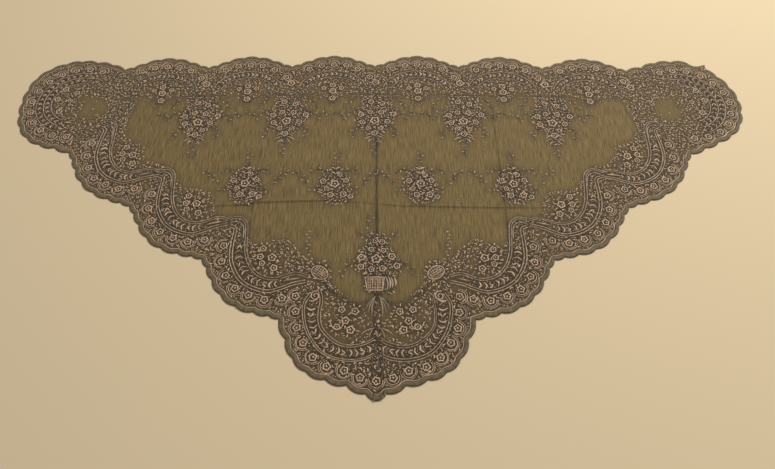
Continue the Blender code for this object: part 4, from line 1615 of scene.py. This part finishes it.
    @staticmethod
    def heart(work: Needlework, spot: np.ndarray, turn: float, way: np.ndarray, size: float) -> None:
        """Lay two thick leaves that meet in a point, as a heart, and two dark leaves in the notch between
        them as painted shade.

        Args:
            work: The embroidery that takes the threads.
            spot: Its place on the right tip.
            turn: The angle of the direction to the edge, in radians.
            way: The factors of x and y that put it on the right or the left half.
            size: Its size, in millimetres.
        """
        along = np.array([-math.sin(turn), math.cos(turn)])
        outward = np.array([math.cos(turn), math.sin(turn)])
        tip = (spot + along * size * 0.55) * way
        for lean in (-1.0, 1.0):
            end = (spot - along * size * 0.35 + outward * lean * size * 0.6) * way
            work.leaf(tip, end, 2.6, work.random.uniform(0.6, 0.9), 0.12 * lean)
            # Painted shade: a dark leaf in the heart's notch.
            low = (spot - along * size * 0.75 + outward * lean * size * 0.25) * way
            work.leaf(tip - along * way * size * 0.7, low, 2.8, 0.0)

    def filling(self, work: Needlework, panels: dict[str, np.ndarray]) -> None:
        """Fill what is left of the borders with small curved leaves.

        Args:
            work: The embroidery that takes the threads.
            panels: The panels' outlines by the names of their nodes.
        """
        edge = self.outline.whole_edge()
        inner = shifted(edge, self.filling_inset, closed=True)
        net = panels["net_ground"]
        low, high = edge.min(0), edge.max(0)
        for spacing, size in self.filling_passes:
            x, y = np.meshgrid(np.arange(low[0], high[0], spacing), np.arange(low[1], high[1], spacing))
            off = work.random.uniform(-0.4, 0.4, (x.size, 2)) * spacing
            spots = np.stack([x.ravel(), y.ravel()], 1) + off
            spots = spots[inside(inner, spots) & ~inside(net, spots)]
            for patch in self.patches():
                keep = work.random.uniform(0.0, 1.0, len(spots)) < (patch.share if size > 3.0 else 0.0)
                spots = spots[keep | ~patch.holds(spots)]
            for spot in spots:
                work.seed(spot, size)


@dataclass
class NetWork:
    """The embroidery on the net: sprays, sprigs and their tendrils."""

    plan: ThreadMap
    filling_passes: Pairs = ((5.0, 6.4), (3.6, 4.0), (2.8, 2.8))
    spray_flowers: Flowers = (
        (-27.0, 198.0, 6.0), (-24.0, 179.0, 6.0), (24.0, 181.0, 6.0), (36.0, 199.0, 6.0), (0.0, 152.0, 6.5),
        (12.0, 204.0, 6.0), (-10.0, 205.0, 5.5), (14.0, 226.0, 6.0), (-8.0, 232.0, 6.0), (12.0, 164.0, 5.0),
        (-12.0, 165.0, 5.0),
    )
    sprig_flowers: Flowers = (
        (-21.0, 42.0, 6.0), (-7.0, 12.0, 6.0), (16.0, 13.0, 6.5), (29.0, 8.0, 5.0), (20.0, 44.0, 5.5),
        (-14.0, 26.0, 5.0), (8.0, 56.0, 5.0),
    )
    centre_flowers: Flowers = (
        (-5.0, -82.0, 5.5), (7.0, -84.0, 5.5), (-28.0, -113.0, 6.5), (23.0, -112.0, 6.5),
        (32.0, -130.0, 6.0), (-29.0, -131.0, 6.0), (9.0, -100.0, 5.0), (-12.0, -98.0, 5.0),
        (8.0, -134.0, 6.0), (-10.0, -136.0, 5.5),
    )
    spray_rose: Triple = (0.0, 183.0, 9.0)
    spray_leaves: Line = ((20.0, 136.0), (12.0, 129.0), (17.0, 144.0))
    spray_tendrils: tuple[Line, ...] = (
        ((30.0, 212.0), (42.0, 207.0), (54.0, 200.0), (61.0, 186.0)),
        ((26.0, 168.0), (36.0, 166.0), (41.0, 154.0), (37.0, 142.0)),
        ((40.0, 240.0), (52.0, 230.0), (58.0, 214.0)),
        ((64.0, 194.0), (72.0, 204.0), (83.0, 199.0)),
    )
    spray_stem: Line = ((0.0, 143.0), (2.0, 128.0), (-2.0, 112.0), (1.0, 97.0))
    spray_rows: Flowers = (
        (248.0, -26.0, 32.0), (224.0, -26.0, 34.0), (204.0, -34.0, 42.0), (184.0, -36.0, 38.0),
        (166.0, -24.0, 24.0), (150.0, -13.0, 13.0), (134.0, -8.0, 8.0),
    )
    sprig_rose: Triple = (0.0, 36.0, 8.0)
    sprig_leaves: tuple[float, ...] = (72.0, 62.0)
    sprig_tendrils: tuple[Line, ...] = (
        ((12.0, 60.0), (26.0, 66.0), (38.0, 66.0), (45.0, 58.0)),
        ((26.0, 28.0), (36.0, 26.0), (44.0, 18.0)),
        ((50.0, 34.0), (58.0, 48.0), (68.0, 58.0), (78.0, 62.0)),
    )
    sprig_stem: Line = ((0.0, 66.0), (-2.0, 82.0), (2.0, 96.0), (-2.0, 110.0))
    sprig_rows: Flowers = (
        (76.0, -6.0, 6.0), (64.0, -14.0, 14.0), (50.0, -28.0, 26.0), (28.0, -32.0, 32.0),
        (8.0, -22.0, 34.0), (-6.0, -10.0, 16.0),
    )
    centre_rose: Triple = (-3.0, -117.0, 8.5)
    centre_tendrils: tuple[Line, ...] = (
        ((34.0, -122.0), (46.0, -126.0), (58.0, -136.0), (62.0, -148.0)),
        ((14.0, -76.0), (26.0, -72.0), (34.0, -64.0)),
    )
    centre_stem: Line = ((-14.0, -68.0), (-16.0, -52.0), (-13.0, -38.0), (-12.0, -25.0))
    centre_rows: Flowers = (
        (-70.0, -12.0, 8.0), (-92.0, -22.0, 22.0), (-112.0, -38.0, 34.0), (-134.0, -38.0, 40.0),
        (-148.0, -22.0, 30.0), (-176.0, -18.0, 30.0),
    )
    basket_staves: Triple = (-17.0, 9.0, 4.2)
    basket_rows: Triple = (-172.0, -149.0, 4.2)
    basket_height: Point = (-151.0, -172.0)
    basket_width: Point = (-19.0, 9.0)
    basket_taper: float = 0.92
    centre_fan: tuple[float, ...] = (15.0, 20.0, 25.0, 30.0)
    basket_rim: Line = ((-21.0, -150.0), (11.0, -150.0), (8.0, -174.0), (-17.0, -174.0), (-21.0, -150.0))

    @staticmethod
    def tendril(work: Needlework, at: np.ndarray, spots: Line, side: float = 1.0) -> None:
        """Lay a thin dark tendril with small leaves on both sides.

        Args:
            work: The embroidery that takes the threads.
            at: The spray's own origin on the plan.
            spots: The tendril's points from there.
            side: 1, or -1 for a mirrored one.
        """
        line = smooth_line([(side * x, y) for x, y in spots])
        work.lay(at + line, 0.6, 0.15, clearance=0.3)
        dense = resampled(line, 1.0)
        for index in range(4, len(dense) - 2, 7):
            run = dense[index + 1] - dense[index - 1]
            left = np.array([-run[1], run[0]]) / max(1e-6, np.hypot(*run))
            turn = 1.0 if (index // 7) % 2 else -1.0
            start = dense[index] + left * turn * 1.2
            end = at + start + left * turn * 4.5 + run * 1.4
            work.leaf(at + start, end, 2.4, work.random.uniform(0.35, 0.9))

    @staticmethod
    def flowers(work: Needlework, at: np.ndarray, small: Flowers, large: Triple) -> None:
        """Lay the small flowers of a bunch and then its large one."""
        for x, y, radius in (*small, large):
            work.flower(at + (x, y), radius)

    def spray(self, number: int, axis: float, drop: float) -> Needlework:
        """Draw one large spray under a trough of the top edge.

        Args:
            number: Its number, from left to right.
            axis: The x of its middle line, in millimetres.
            drop: How much lower it hangs than the highest one, in millimetres.

        Returns:
            The new embroidery.
        """
        work = Needlework(f"spray_{number}_thread", 40 + number, self.plan)
        at = np.array([axis, -drop])
        self.flowers(work, at, self.spray_flowers, self.spray_rose)
        for side in (-1.0, 1.0):
            for x, y in self.spray_leaves:
                work.leaf(at + (side * 4.0, y + 9.0), at + (side * x, y), 2.4, 0.75, 0.12 * side)
            for spots in self.spray_tendrils:
                self.tendril(work, at, spots, side)
        self.tendril(work, at, self.spray_stem)
        self.fill(work, at, self.spray_rows)
        return work

    def sprig(self, number: int, axis: float) -> Needlework:
        """Draw one sprig between the sprays and the middle.

        Args:
            number: Its number, from left to right.
            axis: The x of its middle line, in millimetres.

        Returns:
            The new embroidery.
        """
        work = Needlework(f"sprig_{number}_thread", 60 + number, self.plan)
        at = np.array([axis, 0.0])
        self.flowers(work, at, self.sprig_flowers, self.sprig_rose)
        for side in (-1.0, 1.0):
            for spots in self.sprig_tendrils:
                self.tendril(work, at, spots, side)
            for y in self.sprig_leaves:
                work.leaf(at + (0.0, y - 5.0), at + (side * 9.0, y), 3.2, 0.85, 0.1 * side)
        self.tendril(work, at, self.sprig_stem)
        self.fill(work, at, self.sprig_rows)
        return work

    def centre(self) -> Needlework:
        """Draw the spray above the point, with its basket and its fan of leaves.

        Returns:
            The new embroidery.
        """
        work = Needlework("spray_centre_thread", 80, self.plan)
        at = np.zeros(2)
        self.flowers(work, at, self.centre_flowers, self.centre_rose)
        (top, foot), (left, right) = self.basket_height, self.basket_width
        for x in np.arange(*self.basket_staves):
            stave = resampled(np.array([(x, top), (self.basket_taper * x, foot)]), 3.0)
            work.lay(stave, 0.7, 0.62, clearance=0.0)
        for y in np.arange(*self.basket_rows):
            work.lay(resampled(np.array([(left, y), (right, y)]), 3.0), 0.7, 0.66, clearance=0.0)
        work.cord(np.array(self.basket_rim), 1.0, 0.8)
        for index, x in enumerate(self.centre_fan):
            start, end = (x - 3.0, -147.0 - index), (x - 1.0, -176.0 + 3.0 * index)
            work.leaf(start, end, 3.2, 0.72, 0.12)
        self.tendril(work, at, self.centre_stem)
        for side in (-1.0, 1.0):
            for spots in self.centre_tendrils:
                self.tendril(work, at, spots, side)
        self.fill(work, at, self.centre_rows)
        return work

    def fill(self, work: Needlework, at: np.ndarray, rows: Flowers) -> None:
        """Fill a spray's outline, given as rows of height, left and right, with small leaves.

        Args:
            work: The embroidery that takes the threads.
            at: The spray's own origin on the plan.
            rows: The rows, in millimetres from the origin.
        """
        rows = sorted(rows)
        heights = [row[0] for row in rows]
        for spacing, size in self.filling_passes:
            for y in np.arange(heights[0], heights[-1], spacing):
                left = float(np.interp(y, heights, [row[1] for row in rows]))
                right = float(np.interp(y, heights, [row[2] for row in rows]))
                for x in np.arange(left, right + 0.1, spacing):
                    spot = at + (x, y) + work.random.uniform(-0.4, 0.4, 2) * spacing
                    work.seed(spot, size)


@dataclass
class Studio:
    """The plain pale floor, the soft light and the camera."""

    floor_size: float = 8.0
    floor_height: float = -0.0002
    floor_colour: Colour = (0.62, 0.50, 0.32)
    lens: float = 26.63
    camera_place: Triple = (0.0201, -0.5526, 0.8619)
    camera_right: Triple = (0.99997, 0.00785, 0.0)
    camera_up: Triple = (-0.00686, 0.87292, 0.48781)
    camera_roll: float = 0.224
    sensor_width: float = 36.0
    light_size: tuple[float, float] = (1.6, 1.2)
    light_place: Triple = (1.2, 1.6, 2.2)
    light_power: float = 78.0
    light_colour: Colour = (1.0, 0.97, 0.92)
    sky_colour: Colour = (1.0, 0.98, 0.95)
    sky_strength: float = 0.47

    def floor(self) -> None:
        """Add the floor as part of the stage."""
        bpy.ops.object.select_all(action="DESELECT")
        bpy.ops.mesh.primitive_plane_add(size=self.floor_size, location=(0.0, 0.0, self.floor_height))
        floor = bpy.context.active_object
        floor.name = "floor"
        paint = bpy.data.materials.new("Pale floor")
        paint.use_nodes = True
        shader = paint.node_tree.nodes["Principled BSDF"]
        shader.inputs["Base Color"].default_value = (*self.floor_colour, 1.0)
        shader.inputs["Roughness"].default_value = 0.9
        floor.data.materials.append(paint)

    def lights(self) -> None:
        """Add one broad soft light from the upper right and an even sky."""
        light = bpy.data.lights.new("softbox", "AREA")
        light.shape = "RECTANGLE"
        light.size, light.size_y = self.light_size
        light.energy = self.light_power
        light.color = self.light_colour
        lamp = bpy.data.objects.new("softbox", light)
        lamp.location = self.light_place
        lamp.rotation_euler = (-lamp.location).to_track_quat("-Z", "Y").to_euler()
        bpy.context.scene.collection.objects.link(lamp)
        world = bpy.data.worlds.new("soft sky")
        world.use_nodes = True
        sky = world.node_tree.nodes["Background"].inputs
        sky["Color"].default_value = (*self.sky_colour, 1.0)
        sky["Strength"].default_value = self.sky_strength
        bpy.context.scene.world = world
        bpy.context.scene.view_settings.view_transform = "Standard"

    def camera(self) -> None:
        """Add the camera at the photograph's angle to the cloth."""
        right, up = Vector(self.camera_right), Vector(self.camera_up)
        roll = math.radians(self.camera_roll)
        turned_right = (right * math.cos(roll) - up * math.sin(roll)).normalized()
        turned_up = (right * math.sin(roll) + up * math.cos(roll)).normalized()
        back = turned_right.cross(turned_up)
        data = bpy.data.cameras.new("camera")
        data.sensor_width = self.sensor_width
        data.lens = self.lens
        data.clip_start = 0.01
        camera = bpy.data.objects.new("camera", data)
        turn = Matrix((turned_right, turned_up, back)).transposed().to_4x4()
        camera.matrix_world = Matrix.Translation(self.camera_place) @ turn
        bpy.context.scene.collection.objects.link(camera)
        bpy.context.scene.camera = camera


def area_of(outline: np.ndarray) -> float:
    """Return the area inside a closed outline, in square metres."""
    x, y = outline.T * MM
    return float(abs(np.sum(x * np.roll(y, -1) - np.roll(x, -1) * y)) / 2)


class Mantilla:
    """The whole mantilla: its panels, its embroidery and its edging."""

    names = {
        "net_ground": "net_cloth", "border_top": "lace_top", "border_tip_left": "lace_tip_left",
        "border_tip_right": "lace_tip_right", "border_side_left": "lace_side_left",
        "border_side_right": "lace_side_right", "border_point": "lace_point",
    }
    # Strength of the painted shade along the creases of each panel.
    painted_fold_shade = 0.20
    painted_fold_shades = {"net_ground": 0.34, "border_point": 0.06}
    spray_gap = 0.3
    sprig_axes = (-243.0, -80.0, 75.0, 243.0)

    def __init__(self) -> None:
        """Set out the cut and the surface that every piece shares."""
        self.outline = ClothOutline()
        self.surface = ClothSurface()
        self.plan = ThreadMap()
        self.panels = self.outline.panels()

    def draw_borders(self) -> dict[str, Needlework]:
        """Draw the borders' embroidery and share it out among the panels, by the names of their nodes.

        Returns:
            The embroidery of each panel by its node's name.
        """
        border = BorderWork(self.outline, self.plan)
        work = Needlework("border", 7, self.plan)
        border.lobes(work)
        border.top_waves(work)
        border.point(work)
        border.tips(work)
        border.scallop_edge(work)
        border.filling(work, self.panels)
        shares = {node: Needlework(f"{self.names[node]}_thread", 0, self.plan) for node in self.panels}
        middles = np.array([thread.points[len(thread.points) // 2] for thread in work.threads])
        nodes = np.full(len(middles), "border_top", object)
        for node, outline in self.panels.items():
            nodes[inside(outline, middles)] = node
        for node, thread in zip(nodes, work.threads):
            shares[node].threads.append(thread)
        return shares

    def draw_net(self) -> list[Needlework]:
        """Draw the embroidery on the net.

        Returns:
            The sprays, the sprigs and the spray above the point.
        """
        net = NetWork(self.plan)
        works = []
        for number, index in enumerate(range(-2, 3), start=1):
            x, y = self.outline.trough(index)
            works.append(net.spray(number, x + 1.0, self.outline.wave_height - y))
        works += [net.sprig(number, axis) for number, axis in enumerate(self.sprig_axes, start=1)]
        return [*works, net.centre()]

    def build(self) -> None:
        """Draw all the embroidery, then make every panel and every piece of work."""
        net_works = self.draw_net()
        border_works = self.draw_borders()
        panels = {}
        for node, outline in self.panels.items():
            finish = NET_FINISH if node == "net_ground" else LACE_FINISH
            shade = self.painted_fold_shades.get(node, self.painted_fold_shade)
            panel = ClothPanel(self.names[node], outline, finish, shade)
            panels[node] = panel.build(self.surface, self.plan)
            self.finish(panels[node], finish.slot, node)
        band = EdgingBand().build(self.outline, self.surface)
        self.finish(band, EDGING_FINISH.slot)
        on_panel: dict[str, list[bpy.types.Object]] = {node: [] for node in self.panels}
        for node, work in border_works.items():
            piece = work.sew(self.surface)
            self.finish(piece, THREAD_FINISH.slot)
            on_panel[node].append(piece)
        for work in net_works:
            piece = work.sew(self.surface, self.spray_gap)
            self.finish(piece, THREAD_FINISH.slot, work.name.removesuffix("_thread"))
            on_panel["net_ground"].append(piece)
        on_panel["border_top"].append(band)
        for node, piece in panels.items():
            area_of(self.panels[node])

    @staticmethod
    def finish(piece: bpy.types.Object, slot: Slot, node: str | None = None) -> None:
        """Let a piece ride on the part and hide the CAD node that it stands for, if there is one.

        Args:
            piece: The piece.
            slot: Its material slot; not used.
            node: The name of the node, if there is one.
        """
        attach(piece, "root")
        if node:
            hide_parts(node)
        LOG.info("%s: %d faces", piece.name, len(piece.data.polygons))


def main() -> None:
    """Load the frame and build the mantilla."""
    logging.basicConfig(level=logging.INFO, format="%(message)s")
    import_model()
    studio = Studio()
    studio.floor()
    studio.lights()
    studio.camera()
    Mantilla().build()


if __name__ == "__main__":
    main()
